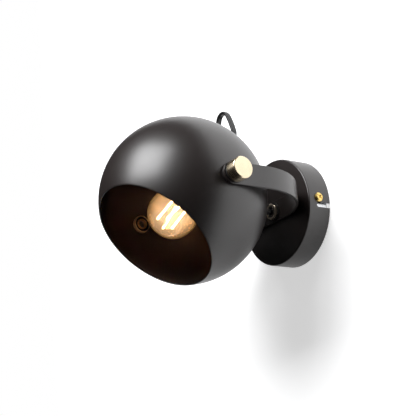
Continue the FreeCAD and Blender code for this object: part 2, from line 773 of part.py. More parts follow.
# ---- bulb ----------------------------------------------------------------------------------------
def glass_outline(inset, tail):
    """Edges from the front pole down to the neck's open end: a globe, a hollow curve, a neck.

    The hollow curve is tangent to the globe and the neck, so its centre lies a globe's plus its own
    radius from the globe's centre, and a neck's plus its own radius from the axis.
    """
    def vector(height, radius):
        return FreeCAD.Vector(radius, 0, height)

    globe = globe_radius - inset
    neck = neck_radius - inset
    hollow = neck_hollow + inset
    angle = math.atan2(neck + hollow, -neck_depth)
    meet = vector(globe_forward + globe * math.cos(angle), globe * math.sin(angle))
    widest = vector(globe_forward + globe * math.cos(angle / 2), globe * math.sin(angle / 2))
    curve_height = globe_forward - neck_depth
    lean = (math.pi - angle) / 2 + math.pi / 4
    inmost = vector(curve_height + hollow * math.cos(lean), neck + hollow - hollow * math.sin(lean))
    neck_top = vector(curve_height, neck)
    pole = vector(globe_forward + globe, 0)
    return [Part.Arc(pole, widest, meet).toShape(), Part.Arc(meet, inmost, neck_top).toShape(),
            Part.LineSegment(neck_top, vector(tail, neck)).toShape()]


def bulb_glass():
    """Thin blown envelope, open at the neck inside the cap."""
    tail = cap_rim - cap_skirt
    outer = glass_outline(0.0, tail)
    inner = glass_outline(glass_wall, tail)
    front = globe_forward + globe_radius
    foot = Part.LineSegment(FreeCAD.Vector(neck_radius, 0, tail),
                            FreeCAD.Vector(neck_radius - glass_wall, 0, tail)).toShape()
    tip = Part.LineSegment(FreeCAD.Vector(0, 0, front),
                           FreeCAD.Vector(0, 0, front - glass_wall)).toShape()
    outline = Part.Wire(Part.__sortEdges__(outer + inner + [foot, tip]))
    return aimed(Part.Face(outline).revolve(origin, up, 360))


def bulb_cap():
    """Thin screw cap: a plain skirt round the glass, then rounded thread turns drawn as rings."""
    crest = cap_crest_diameter / 2
    root = crest - cap_thread_depth
    skirt_inside = neck_radius + seat_gap
    outline = [(cap_rim, skirt_inside), (cap_rim, skirt_inside + cap_sheet)]
    start = cap_rim - cap_skirt
    outline.append((start, skirt_inside + cap_sheet))
    for turn in range(cap_turns):
        top = start - 0.4 - turn * cap_pitch
        outline += [(top - cap_pitch * 0.2, root), (top - cap_pitch * 0.5, crest),
                    (top - cap_pitch * 0.7, crest)]
    end = bulb_tip + insulator_height
    outline += [(end + 0.6, root), (end, root - 1.0), (end, root - 1.0 - cap_sheet)]
    inside = root - cap_sheet
    outline += [(end + 0.6, inside), (start, inside), (start, skirt_inside)]
    return aimed(turned(outline))


def bulb_insulator():
    """Black glass collar between the cap's end and the tip contact."""
    end = bulb_tip + insulator_height
    wide = cap_crest_diameter / 2 - cap_thread_depth - 1.0
    tip = eyelet_diameter / 2
    return aimed(turned([(end, 0), (end, wide), (end - 0.4, wide), (bulb_tip + eyelet_height, tip),
                         (bulb_tip + eyelet_height, 0)]))


def bulb_eyelet():
    radius = eyelet_diameter / 2
    return aimed(turned([(bulb_tip + eyelet_height, 0), (bulb_tip + eyelet_height, radius),
                         (bulb_tip + 0.6, radius - 0.4), (bulb_tip, radius - 2.0), (bulb_tip, 0)]))


def stem_glass():
    """Flare sealed to the neck, and the post that carries the bars, on Z."""
    foot = cap_rim - cap_skirt
    flare = neck_radius - glass_wall
    post = stem_glass_diameter / 2
    top = foot + stem_glass_length
    return turned([(foot, 0), (foot, flare), (foot + 1.0, flare), (foot + 5.0, post + 0.8),
                   (foot + 9.0, post), (top - 4.0, post), (top, post * 0.45), (top, 0)])


def bulb_stem():
    return aimed(stem_glass())


def bar_ends():
    """Foot and head of each glowing bar; they stand in a ring and lean round the axis."""
    radius = filament_circle / 2
    low = globe_forward - filament_length / 2
    ends = []
    for index in range(filament_count):
        foot_angle = math.radians(index * 360 / filament_count)
        head_angle = foot_angle + math.radians(filament_twist)
        foot = FreeCAD.Vector(radius * math.cos(foot_angle), radius * math.sin(foot_angle), low)
        head = FreeCAD.Vector(radius * math.cos(head_angle), radius * math.sin(head_angle),
                              low + filament_length)
        ends.append((foot, head))
    return ends


def rod(start, end, diameter):
    return Part.makeCylinder(diameter / 2, start.distanceToPoint(end), start, end - start)


def filament_bars():
    return [rod(foot, head, filament_diameter) for foot, head in bar_ends()]


def filaments():
    return [aimed(bar) for bar in filament_bars()]


def lead_wires():
    """A wire from the post to each bar's foot, and a mast with an arm to each bar's head."""
    post_top = FreeCAD.Vector(0, 0, cap_rim - cap_skirt + stem_glass_length)
    head_height = globe_forward + filament_length / 2 - lead_wire_inset
    mast = rod(post_top, FreeCAD.Vector(0, 0, head_height + lead_wire_diameter / 2), lead_wire_diameter)
    wires = []
    for foot, head in bar_ends():
        along = (head - foot).normalize() * lead_wire_inset
        foot_hold = foot + along
        head_hold = head - along
        wires.append(rod(FreeCAD.Vector(0, 0, foot_hold.z), foot_hold, lead_wire_diameter))
        mast = mast.fuse(rod(FreeCAD.Vector(0, 0, head_hold.z), head_hold, lead_wire_diameter))
    glass_and_bars = [stem_glass()] + filament_bars()
    return [aimed(wire.cut(glass_and_bars)) for wire in wires + [mast]]


# ---- flex ----------------------------------------------------------------------------------------
def free_flex():
    """The stretch between the stem and the grip, which bends when the shade tilts."""
    return tube_along(flex_points, flex_width / 2, "flex")


def flex_in_canopy():
    """The same flex on through the stem, cut back where its cores part."""
    radius = flex_width / 2
    end = stem_inner_end + flex_stripped
    return Part.makeCylinder(radius, end - stem_mouth, FreeCAD.Vector(0, stem_mouth, 0),
                             FreeCAD.Vector(0, 1, 0))


def flex_cores():
    """Insulated cores from the cut end of the flex to the block's poles."""
    cores = []
    start_y = stem_inner_end + flex_stripped
    entry_x = -block_from_middle + block_length / 2
    entry_y = -(bracket_sheet + block_bore_height)
    for pole in range(block_poles):
        offset = pole - (block_poles - 1) / 2
        beside = offset * (core_diameter + running_gap)
        route = [(0.0, start_y, beside), (0.0, start_y + core_run, beside),
                 (entry_x + core_run, entry_y, offset * block_pitch),
                 (entry_x, entry_y, offset * block_pitch)]
        cores.append(tube_along(route, core_diameter / 2, "core %d" % pole))
    return cores


def flex_in_shade():
    """The flex from the grip's mouth to the back of the holder's core."""
    radius = flex_width / 2
    length = grip_mouth + core_face - core_height
    return aimed(Part.makeCylinder(radius, length, FreeCAD.Vector(0, 0, -grip_mouth)))


def build():
    os.makedirs("parts", exist_ok=True)
    save("wall_bracket", wall_bracket())
    save("canopy", canopy())
    save("canopy_screws", side_screw(1), side_screw(-1))
    save("terminal_block", terminal_block())
    save("terminal_screws", *terminal_screws())
    save("terminal_block_screws", *block_screws())
    save("earth_screw", earth_screw())
    save("stem_nipple", stem_nipple())
    save("stem_outer_nut", stem_outer_nut())
    save("stem_inner_nut", stem_inner_nut())
    save("stem_washer", stem_washer())
    save("lock_washer", lock_washer())
    save("yoke", yoke())
    save("shade", shade())
    for name, side in (("right", 1), ("left", -1)):
        save("pivot_nipple_" + name, on_x(pivot_nipple(), side))
        save("pivot_ring_nut_" + name, on_x(pivot_ring_nut(), side))
        save("friction_washer_" + name, on_x(friction_washer(), side))
        save("knob_washer_" + name, on_x(knob_washer(), side))
        save("knob_" + name, on_x(knob(), side))
    save("cord_grip", cord_grip())
    save("cord_grip_screw", grip_screw())
    save("holder_dome", holder_dome())
    save("holder_sleeve", holder_sleeve())
    save("holder_core", holder_core())
    save("holder_liner", holder_liner())
    save("holder_centre_contact", centre_contact())
    save("bulb_glass", bulb_glass())
    save("bulb_cap", bulb_cap())
    save("bulb_insulator", bulb_insulator())
    save("bulb_eyelet", bulb_eyelet())
    save("bulb_stem", bulb_stem())
    save("bulb_filaments", *filaments())
    save("bulb_lead_wires", *lead_wires())
    save("flex", free_flex())
    save("flex_in_canopy", flex_in_canopy())
    save("flex_cores", *flex_cores())
    save("flex_in_shade", flex_in_shade())


build()
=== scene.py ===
# %% [markdown]
# # A pivoting ball spotlight on a wall
# This lesson dresses a packed engineering model of a wall light.  The model gives every piece its
# place, in metres, with +Z up, the wall at y = 0 and the light standing out towards -Y.  We add
# smooth surfaces where the engineering mesh is too coarse to be seen close up, and a finish for
# every piece, so that a render looks like the real lamp.

import bpy
import numpy as np
from mathutils import Matrix


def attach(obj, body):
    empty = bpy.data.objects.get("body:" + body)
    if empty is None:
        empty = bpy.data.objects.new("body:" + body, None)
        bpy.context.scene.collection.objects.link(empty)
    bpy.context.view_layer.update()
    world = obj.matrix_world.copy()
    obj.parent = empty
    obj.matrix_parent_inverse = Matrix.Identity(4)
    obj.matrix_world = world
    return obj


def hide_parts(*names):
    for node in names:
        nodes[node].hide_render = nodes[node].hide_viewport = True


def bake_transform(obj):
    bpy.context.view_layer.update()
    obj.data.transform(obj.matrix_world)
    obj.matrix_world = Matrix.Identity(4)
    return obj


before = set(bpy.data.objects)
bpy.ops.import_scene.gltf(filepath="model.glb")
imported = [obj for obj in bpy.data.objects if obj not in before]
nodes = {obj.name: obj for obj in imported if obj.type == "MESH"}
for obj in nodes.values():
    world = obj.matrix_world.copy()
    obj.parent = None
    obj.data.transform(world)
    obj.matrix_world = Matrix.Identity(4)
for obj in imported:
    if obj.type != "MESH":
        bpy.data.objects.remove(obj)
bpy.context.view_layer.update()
print("nodes in the frame:", len(nodes))

# %% [markdown]
# ## The sizes that the surfaces share
# The real lamp is made of a few turned and bent pieces, so a few lengths drive them all.  They are
# the same lengths as in the engineering source, in metres here.

# %% Shared sizes
MM = 0.001
PIVOT_Y = -127.0 * MM
AIM = np.radians(47.5)
BALL_RADIUS = 75.0 * MM
BALL_WALL = 1.0 * MM
MOUTH_RADIUS = 57.0 * MM
PIVOT = np.array([0.0, PIVOT_Y, 0.0])
AIM_AXIS = np.array([0.0, -np.cos(AIM), -np.sin(AIM)])
X_AXIS = np.array([1.0, 0.0, 0.0])
OUT_AXIS = np.array([0.0, -1.0, 0.0])
print("the mouth points", AIM_AXIS.round(3))

# %% [markdown]
# ## The camera comes first
# A product picture is taken from some way off with a long lens, so that the ball stays round.  The
# camera's place was worked out from the canopy, the ball, its mouth and the knob, whose sizes are
# known.  Its three axes are written as the columns of its rotation.

# %% Camera
CAMERA_PLACE = (0.83619, -0.69555, -0.33159)
CAMERA_RIGHT = (0.55469, 0.82754, -0.08658)
CAMERA_UP = (0.29956, -0.10154, 0.94866)
CAMERA_BACK = (0.77626, -0.55215, -0.30422)
SENSOR_WIDTH = 36.0
FOCAL_IN_PIXELS = 1200.0
FRAME_IN_PIXELS = 416.0

lens = bpy.data.cameras.new("camera")
lens.sensor_width = SENSOR_WIDTH
lens.lens = SENSOR_WIDTH * FOCAL_IN_PIXELS / FRAME_IN_PIXELS
lens.clip_start = 0.05
camera = bpy.data.objects.new("camera", lens)
rotation = np.column_stack([CAMERA_RIGHT, CAMERA_UP, CAMERA_BACK])
placed = np.eye(4)
placed[:3, :3] = rotation
placed[:3, 3] = CAMERA_PLACE
camera.matrix_world = Matrix(placed.tolist())
bpy.context.scene.collection.objects.link(camera)
bpy.context.scene.camera = camera
print("lens %.1f mm" % lens.lens)

# %% [markdown]
# ## From arrays to meshes
# Every new surface below is a function of two parameters, worked out on a grid of points as one
# array.  One helper turns such a grid into a mesh.  It joins the grid's first and last rows or
# columns where the shape closes on itself, and adds one point where it ends in a pole.

# %% Grid to mesh
def mesh_object(name, points, faces, smooth=True):
    """An object at the origin from an (n, 3) array of points and a list of faces."""
    mesh = bpy.data.meshes.new(name)
    mesh.from_pydata(points.reshape(-1, 3).tolist(), [], faces)
    mesh.validate()
    mesh.polygons.foreach_set("use_smooth", np.full(len(mesh.polygons), smooth))
    mesh.update()
    piece = bpy.data.objects.new(name, mesh)
    bpy.context.scene.collection.objects.link(piece)
    return piece


def grid_faces(rows, columns, close_rows=False, close_columns=True, start=0):
    """Quads of a grid: point (i, j) has the index start + i * columns + j.

    Each face joins (i, j), (i+1, j), (i+1, j+1) and (i, j+1); a closed direction wraps round.
    """
    i = np.arange(rows if close_rows else rows - 1)
    j = np.arange(columns if close_columns else columns - 1)
    i, j = np.meshgrid(i, j, indexing="ij")
    next_i = (i + 1) % rows
    next_j = (j + 1) % columns
    quads = np.stack([i * columns + j, next_i * columns + j, next_i * columns + next_j,
                      i * columns + next_j], axis=-1).reshape(-1, 4)
    return (quads + start).tolist()


def cap_faces(columns, row_start, pole, turn):
    """Triangles from one closed row of the grid to a pole; turn is 1 or -1 and sets their side."""
    j = np.arange(columns)
    ring = np.stack([row_start + j, row_start + (j + 1) % columns, np.full(columns, pole)], axis=-1)
    return (ring if turn > 0 else ring[:, ::-1]).tolist()


# %% [markdown]
# ## Turned pieces
# Knobs, washers, nipples, the lampholder and the bulb are all turned about an axis, so one function
# makes them: it sweeps a closed outline round the axis.  A sharp corner never looks real, because
# every turned edge is broken by a tiny radius that catches the light, so the outline's corners are
# rounded first.

# %% Rounded outlines
def rounded(corners, radius, steps=5):
    """Round every corner of a closed outline of (height, distance from axis) points.

    At a corner with unit directions a and b to its neighbours, the rounding starts and ends at
    corner + a*t and corner + b*t, and follows the quadratic (1-s)^2 P + 2s(1-s) C + s^2 Q.
    Corners that lie on the axis stay sharp.
    """
    corners = np.asarray(corners, float)
    radius = np.broadcast_to(np.asarray(radius, float), len(corners))
    before = np.roll(corners, 1, axis=0) - corners
    after = np.roll(corners, -1, axis=0) - corners
    long_before = np.linalg.norm(before, axis=1)
    long_after = np.linalg.norm(after, axis=1)
    reach = np.minimum(radius, 0.45 * np.minimum(long_before, long_after))
    reach = np.where(corners[:, 1] < 1e-9, 0.0, reach)[:, None]
    first = corners + before / long_before[:, None] * reach
    last = corners + after / long_after[:, None] * reach
    s = np.linspace(0, 1, steps)[None, :, None]
    curve = ((1 - s) ** 2 * first[:, None] + 2 * s * (1 - s) * corners[:, None] + s ** 2 * last[:, None])
    points = curve.reshape(-1, 2)
    keep = np.linalg.norm(points - np.roll(points, 1, axis=0), axis=1) > 1e-7
    return points[keep]


def ring_outline(low, high, bore, outside):
    """Corners of a plain ring or tube: (height, distance) at its bore and its outside."""
    return [(low, bore), (low, outside), (high, outside), (high, bore)]


def side_vectors(axis):
    """Two unit vectors square to an axis and to each other."""
    helper = np.array([0.0, 0.0, 1.0]) if abs(axis[2]) < 0.9 else np.array([1.0, 0.0, 0.0])
    first = np.cross(helper, axis)
    first /= np.linalg.norm(first)
    return first, np.cross(axis, first)


def swept_round(name, outline, origin, axis, segments=96, radius_of=None):
    """Sweep an outline of (height h, distance r) round an axis: origin + h*axis + r*(u cos a + v sin a).

    radius_of(r, h, a) may change the distance with the angle, as on a hexagon nut.  Runs of the
    outline that lie on the axis shrink to one pole point each.
    """
    outline = np.asarray(outline, float)
    on_axis = outline[:, 1] < 1e-9
    closed = not on_axis.any()
    if not closed:
        start = np.flatnonzero(on_axis & ~np.roll(on_axis, -1))[0]
        outline = np.roll(outline, -start, axis=0)
        outline = outline[:np.flatnonzero(outline[1:, 1] < 1e-9)[0] + 2]
    ends = outline[[0, -1]]
    rows = outline if closed else outline[1:-1]
    angle = np.arange(segments) * 2 * np.pi / segments
    u, v = side_vectors(axis)
    height = rows[:, :1] + 0 * angle
    reach = rows[:, 1:] + 0 * angle
    if radius_of is not None:
        reach = radius_of(reach, height, angle)
    points = (origin + height[..., None] * axis
              + reach[..., None] * (np.cos(angle)[:, None] * u + np.sin(angle)[:, None] * v))
    points = points.reshape(-1, 3)
    faces = grid_faces(len(rows), segments, close_rows=closed)
    if not closed:
        poles = origin + ends[:, :1] * axis
        points = np.vstack([points, poles])
        faces += cap_faces(segments, 0, len(points) - 2, 1)
        faces += cap_faces(segments, (len(rows) - 1) * segments, len(points) - 1, -1)
    piece = mesh_object(name, points, faces)
    face_outwards(piece)
    return piece


def face_outwards(piece):
    """Turn a closed mesh's faces outwards: its signed volume, the sum of a.(b x c)/6, is positive."""
    mesh = piece.data
    mesh.calc_loop_triangles()
    corner = np.zeros(len(mesh.vertices) * 3)
    mesh.vertices.foreach_get("co", corner)
    index = np.zeros(len(mesh.loop_triangles) * 3, int)
    mesh.loop_triangles.foreach_get("vertices", index)
    a, b, c = np.moveaxis(corner.reshape(-1, 3)[index.reshape(-1, 3)], 1, 0)
    volume = np.einsum("ij,ij->i", a - a.mean(0), np.cross(b - a.mean(0), c - a.mean(0))).sum() / 6
    if volume < 0:
        mesh.flip_normals()


def keep_corners(piece, degrees=32.0):
    """Shade smooth, but leave edges that turn by more than this angle crisp."""
    piece.data.set_sharp_from_angle(angle=np.radians(degrees))


# %% [markdown]
# ## Finishes
# Each finish is a small graph of nodes on a Principled shader.  A helper starts the graph and a
# second one adds the fine surface relief that breaks up a highlight.  Patterns read Object
# coordinates, which are metres on every piece, so a grain keeps its true size.

# %% Material helpers
def new_finish(name, base, roughness, metallic=0.0):
    """A material with a Principled shader; returns it with its nodes, links and shader."""
    material = bpy.data.materials.new(name)
    material.use_nodes = True
    tree = material.node_tree
    shader = tree.nodes["Principled BSDF"]
    shader.inputs["Base Color"].default_value = (*base, 1.0)
    shader.inputs["Roughness"].default_value = roughness
    shader.inputs["Metallic"].default_value = metallic
    return material, tree.nodes, tree.links, shader


def grain(tree_nodes, links, scale, detail=3.0, roughness=0.55):
    """Noise on Object coordinates: scale is in features per metre."""
    place = tree_nodes.new("ShaderNodeTexCoord")
    noise = tree_nodes.new("ShaderNodeTexNoise")
    noise.inputs["Scale"].default_value = scale
    noise.inputs["Detail"].default_value = detail
    noise.inputs["Roughness"].default_value = roughness
    links.new(place.outputs["Object"], noise.inputs["Vector"])
    return noise


def relief(tree_nodes, links, height, shader, strength, distance):
    """Bump the shader's normal by a height; distance is how deep, in metres."""
    bump = tree_nodes.new("ShaderNodeBump")
    bump.inputs["Strength"].default_value = strength
    bump.inputs["Distance"].default_value = distance
    links.new(height, bump.inputs["Height"])
    links.new(bump.outputs["Normal"], shader.inputs["Normal"])


def spread(tree_nodes, links, value, low, high):
    """Map a noise, which keeps mostly to 0.3..0.7, on to a range from low to high."""
    ramp = tree_nodes.new("ShaderNodeMapRange")
    ramp.inputs["From Min"].default_value = 0.3
    ramp.inputs["From Max"].default_value = 0.7
    ramp.inputs["To Min"].default_value = low
    ramp.inputs["To Max"].default_value = high
    links.new(value, ramp.inputs["Value"])
    return ramp.outputs["Result"]


def either(tree_nodes, links, *values):
    """The largest of several 0-or-1 values: 1 where any of them is 1."""
    held = values[0]
    for value in values[1:]:
        larger = tree_nodes.new("ShaderNodeMath")
        larger.operation = "MAXIMUM"
        links.new(held, larger.inputs[0])
        links.new(value, larger.inputs[1])
        held = larger.outputs["Value"]
    return held


def tinted(tree_nodes, links, value, dark, light, socket):
    """Colour between dark and light by a value, into a socket."""
    mix = tree_nodes.new("ShaderNodeMix")
    mix.data_type = "RGBA"
    mix.inputs["A"].default_value = (*dark, 1.0)
    mix.inputs["B"].default_value = (*light, 1.0)
    links.new(value, mix.inputs["Factor"])
    links.new(mix.outputs["Result"], socket)


# %% [markdown]
# ## Black powder coat
# The ball, yoke and canopy are steel with a fine satin powder coat.  Melted powder leaves a very
# fine orange-peel skin, so the highlight is broad and soft, and the colour is a warm near-black.
# Two noises do it: one at about a millimetre for the skin, one much larger for slow variation.

# %% Powder coat
def powder_coat(name, base, roughness):
    material, n, links, shader = new_finish(name, base, roughness)
    slow = grain(n, links, 18.0, detail=2.0)
    fine = grain(n, links, 1500.0, detail=2.0)
    dark = tuple(0.9 * value for value in base)
    light = tuple(1.12 * value for value in base)
    tinted(n, links, spread(n, links, slow.outputs["Fac"], 0.0, 1.0), dark, light,
           shader.inputs["Base Color"])
    links.new(spread(n, links, fine.outputs["Fac"], roughness - 0.04, roughness + 0.05),
              shader.inputs["Roughness"])
    relief(n, links, fine.outputs["Fac"], shader, 0.35, 0.00004)
    shader.inputs["Specular IOR Level"].default_value = 0.92
    return material


black_coat = powder_coat("black_powder_coat", (0.014, 0.0092, 0.0083), 0.38)
print("powder coat ready")

# %% [markdown]
# ## Turned brass
# A lathe leaves concentric rings on a face and rings along a barrel.  Both are distances: rings on
# the barrel follow the place along X, and rings on the face follow the distance from the axis, so
# the pattern is a wave of x plus that distance.  The colour is a pale lacquered brass.

# %% Brass
def turned_brass(name, base, roughness, centre_y=PIVOT_Y, centre_z=0.0, painted_shade_within=None):
    """Brass whose fine rings run round an axis along X through (centre_y, centre_z).

    Given a distance, the metal nearer the axis than that is painted near-black, as painted shade.
    """
    material, n, links, shader = new_finish(name, base, roughness, 1.0)
    place = n.new("ShaderNodeTexCoord")
    shift = n.new("ShaderNodeMapping")
    shift.inputs["Location"].default_value = (0.0, -centre_y, -centre_z)
    links.new(place.outputs["Object"], shift.inputs["Vector"])
    parts = n.new("ShaderNodeSeparateXYZ")
    links.new(shift.outputs["Vector"], parts.inputs["Vector"])
    around = n.new("ShaderNodeCombineXYZ")
    links.new(parts.outputs["Y"], around.inputs["Y"])
    links.new(parts.outputs["Z"], around.inputs["Z"])
    reach = n.new("ShaderNodeVectorMath")
    reach.operation = "LENGTH"
    links.new(around.outputs["Vector"], reach.inputs[0])
    total = n.new("ShaderNodeMath")
    links.new(reach.outputs["Value"], total.inputs[0])
    links.new(parts.outputs["X"], total.inputs[1])
    line = n.new("ShaderNodeCombineXYZ")
    links.new(total.outputs["Value"], line.inputs["X"])
    rings = n.new("ShaderNodeTexNoise")
    rings.inputs["Scale"].default_value = 5200.0
    rings.inputs["Detail"].default_value = 2.0
    links.new(line.outputs["Vector"], rings.inputs["Vector"])
    links.new(spread(n, links, rings.outputs["Fac"], roughness - 0.05, roughness + 0.08),
              shader.inputs["Roughness"])
    relief(n, links, rings.outputs["Fac"], shader, 0.25, 0.00001)
    slow = grain(n, links, 90.0)
    dark = tuple(0.88 * value for value in base)
    tinted(n, links, spread(n, links, slow.outputs["Fac"], 0.0, 1.0), dark, base,
           shader.inputs["Base Color"])
    # Painted shade: nearer the axis than the given distance, the base colour turns near-black.
    if painted_shade_within is not None:
        brass_colour = shader.inputs["Base Color"].links[0].from_socket
        edge = n.new("ShaderNodeMapRange")
        edge.inputs["From Min"].default_value = painted_shade_within
        edge.inputs["From Max"].default_value = painted_shade_within + 0.0003
        links.new(reach.outputs["Value"], edge.inputs["Value"])
        both = n.new("ShaderNodeMix")
        both.data_type = "RGBA"
        both.inputs["A"].default_value = (0.03, 0.018, 0.01, 1.0)
        links.new(edge.outputs["Result"], both.inputs["Factor"])
        links.new(brass_colour, both.inputs["B"])
        links.new(both.outputs["Result"], shader.inputs["Base Color"])
    return material


pale_brass = turned_brass("pale_turned_brass", (0.8, 0.67, 0.47), 0.22)
inner_brass = turned_brass("inner_brass", (0.85, 0.56, 0.3), 0.3)
# The ring nuts get a brighter copy of brass, as painted light from the bulb on them, and painted shade in the
# middle.
painted_lit_ring_brass = turned_brass("painted_lit_ring_brass", (0.98, 0.76, 0.56), 0.45, painted_shade_within=0.0068)
screw_brass = turned_brass("screw_brass", (0.95, 0.68, 0.22), 0.3, centre_y=-13.0 * MM)
print("brass ready")

# %% [markdown]
# ## Plated steel, nickel and the bulb's cap
# Zinc plate is a cool, slightly cloudy metal; the bulb's cap is satin nickel.  A cloud noise in the
# roughness gives both the blotchy shine of barrel plating.

# %% Plated metals
def plated(name, base, roughness):
    material, n, links, shader = new_finish(name, base, roughness, 1.0)
    cloud = grain(n, links, 420.0, detail=4.0)
    links.new(spread(n, links, cloud.outputs["Fac"], roughness - 0.07, roughness + 0.1),
              shader.inputs["Roughness"])
    dark = tuple(0.85 * value for value in base)
    tinted(n, links, spread(n, links, cloud.outputs["Fac"], 0.0, 1.0), dark, base,
           shader.inputs["Base Color"])
    relief(n, links, cloud.outputs["Fac"], shader, 0.15, 0.00002)
    return material


zinc = plated("zinc_plate", (0.72, 0.73, 0.75), 0.28)
nickel = plated("satin_nickel", (0.66, 0.63, 0.58), 0.3)
bronze_plate = plated("bronze_plate", (0.66, 0.56, 0.44), 0.38)
black_oxide = plated("black_oxide", (0.12, 0.11, 0.1), 0.34)
print("plated metals ready")

# %% [markdown]
# ## Moulded plastics, ceramic and rubber
# Moulded parts carry the mould's faint texture.  The washers and the cord grip are matt nylon, the
# lampholder is glossier phenolic, the block is milky nylon, and the core is an unglazed ceramic
# with tiny specks.

# %% Moulded finishes
def moulded(name, base, roughness, scale=900.0, depth=0.00003):
    material, n, links, shader = new_finish(name, base, roughness)
    skin = grain(n, links, scale, detail=3.0)
    dark = tuple(0.82 * value for value in base)
    tinted(n, links, spread(n, links, skin.outputs["Fac"], 0.0, 1.0), dark, base,
           shader.inputs["Base Color"])
    links.new(spread(n, links, skin.outputs["Fac"], roughness - 0.05, roughness + 0.08),
              shader.inputs["Roughness"])
    relief(n, links, skin.outputs["Fac"], shader, 0.3, depth)
    return material


black_nylon = moulded("black_nylon", (0.012, 0.012, 0.012), 0.5)
phenolic = moulded("phenolic", (0.012, 0.011, 0.011), 0.28, scale=500.0, depth=0.00001)
milky_nylon = moulded("milky_nylon", (0.7, 0.69, 0.64), 0.42)
ceramic = moulded("ceramic", (0.76, 0.74, 0.69), 0.62, scale=2200.0)
sheath = moulded("flex_sheath", (0.009, 0.009, 0.01), 0.42, scale=1400.0)
black_glass = moulded("black_cap_glass", (0.01, 0.006, 0.012), 0.12, scale=300.0, depth=0.00001)
print("moulded finishes ready")

# %% [markdown]
# ## Glass and the lit bars
# The envelope is thin amber-tinted glass.  A refracting solid shader on a real wall of 0.8 mm bends
# light little, as it should, and the tint comes from the shader's colour.  Its wall also scatters a
# share of the bars' light, partly as real glass does; the share is larger and the colour paler where
# we look straight through it, and less and redder towards its rim, which is a painted glow round the
# lit bars.  The four bars glow with an emission that is strong enough to read as white, a little
# brighter in some spots than in others.

# %% Glass
def clear_glass(name, base, roughness):
    material, n, links, shader = new_finish(name, base, roughness)
    shader.inputs["Transmission Weight"].default_value = 1.0
    shader.inputs["IOR"].default_value = 1.46
    streak = grain(n, links, 160.0, detail=1.0)
    relief(n, links, streak.outputs["Fac"], shader, 0.05, 0.0002)
    pale = tuple(min(1.0, 1.04 * value) for value in base)
    tinted(n, links, spread(n, links, streak.outputs["Fac"], 0.0, 1.0), base, pale,
           shader.inputs["Base Color"])
    return material


def glowing(name, colour, strength):
    """Lit phosphor: emission, a little brighter in some spots than in others."""
    material, n, links, shader = new_finish(name, (0.9, 0.6, 0.2), 0.6)
    spots = grain(n, links, 700.0)
    shader.inputs["Emission Color"].default_value = (*colour, 1.0)
    links.new(spread(n, links, spots.outputs["Fac"], 0.85 * strength, 1.15 * strength),
              shader.inputs["Emission Strength"])
    return material


def scatter_and_painted_glow(material, middle, rim, middle_share, rim_share):
    """Mix in a translucent coat that scatters light through the wall.

    The place runs from 0 in the middle to 1 where the surface turns by about 50 degrees, and both
    the coat's colour and its share follow it.  The scatter is partly real; the larger, paler share
    where the wall is seen square on is a painted glow round the lit bars.
    """
    n, links = material.node_tree.nodes, material.node_tree.links
    weight = n.new("ShaderNodeLayerWeight")
    weight.inputs["Blend"].default_value = 0.5
    place = n.new("ShaderNodeMapRange")
    place.inputs["From Max"].default_value = 0.3
    links.new(weight.outputs["Facing"], place.inputs["Value"])
    scatter = n.new("ShaderNodeBsdfTranslucent")
    tinted(n, links, place.outputs["Result"], middle, rim, scatter.inputs["Color"])
    share = n.new("ShaderNodeMapRange")
    share.inputs["To Min"].default_value = middle_share
    share.inputs["To Max"].default_value = rim_share
    links.new(place.outputs["Result"], share.inputs["Value"])
    mix = n.new("ShaderNodeMixShader")
    links.new(share.outputs["Result"], mix.inputs["Fac"])
    links.new(n["Principled BSDF"].outputs["BSDF"], mix.inputs[1])
    links.new(scatter.outputs["BSDF"], mix.inputs[2])
    links.new(mix.outputs["Shader"], n["Material Output"].inputs["Surface"])


amber_glass = clear_glass("amber_glass", (0.98, 0.9, 0.74), 0.02)
# The envelope's paler, larger scatter where seen square on is a painted glow round the lit bars.
scatter_and_painted_glow(amber_glass, (1.0, 0.94, 0.94), (0.68, 0.46, 0.21), 0.2, 0.012)
stem_clear_glass = clear_glass("stem_glass", (0.97, 0.94, 0.88), 0.05)
# The stem's large scatter share is partly a painted glow between the bars.
scatter_and_painted_glow(stem_clear_glass, (0.95, 0.9, 0.8), (0.95, 0.9, 0.8), 0.5, 0.3)
lit_bars = glowing("lit_bars", (1.0, 0.7, 0.42), 105.0)
print("glass and light ready")

# %% [markdown]
# ## The flex
# A flat two-core flex leaves the hollow stem, climbs behind the ball, makes a small loop over it and
# goes into the grip at the ball's back.  Its length is real.  Its line is a smooth spline with the
# same control points as the engineering route, and a flat section with rounded edges is carried
# along it.  Nothing here moves the flex where the ball tilts; a blend between yoke and ball would
# keep the ends in place but stretch the middle.

# %% The flex's line
FLEX_WIDTH = 5.4 * MM
FLEX_THICKNESS = 3.2 * MM
STEM_MOUTH_Y = -30.5 * MM
POLE_FLAT = np.sqrt(75.0 ** 2 - 9.0 ** 2) * MM
GRIP_MOUTH = POLE_FLAT + 12.0 * MM


def pole_line(distance):
    """Point on the line through the ball's back pole, a distance from the ball's centre."""
    return PIVOT - AIM_AXIS * distance


flex_route = np.array([
    (0.0, STEM_MOUTH_Y, 0.0),
    (0.0, -0.0382, 0.0),
    (-0.0015, -0.0430, 0.0070),
    (-0.0060, -0.0445, 0.0190),
    (-0.0135, -0.0475, 0.0360),
    (-0.0215, -0.0525, 0.0540),
    (-0.0270, -0.0580, 0.0720),
    (-0.0283, -0.0605, 0.0865),
    (-0.0248, -0.0610, 0.0980),
    (-0.0182, -0.0610, 0.1013),
    (-0.0114, -0.0610, 0.0989),
    (-0.0059, -0.0610, 0.0872),
    pole_line(GRIP_MOUTH + 10.0 * MM),
    pole_line(GRIP_MOUTH),
])


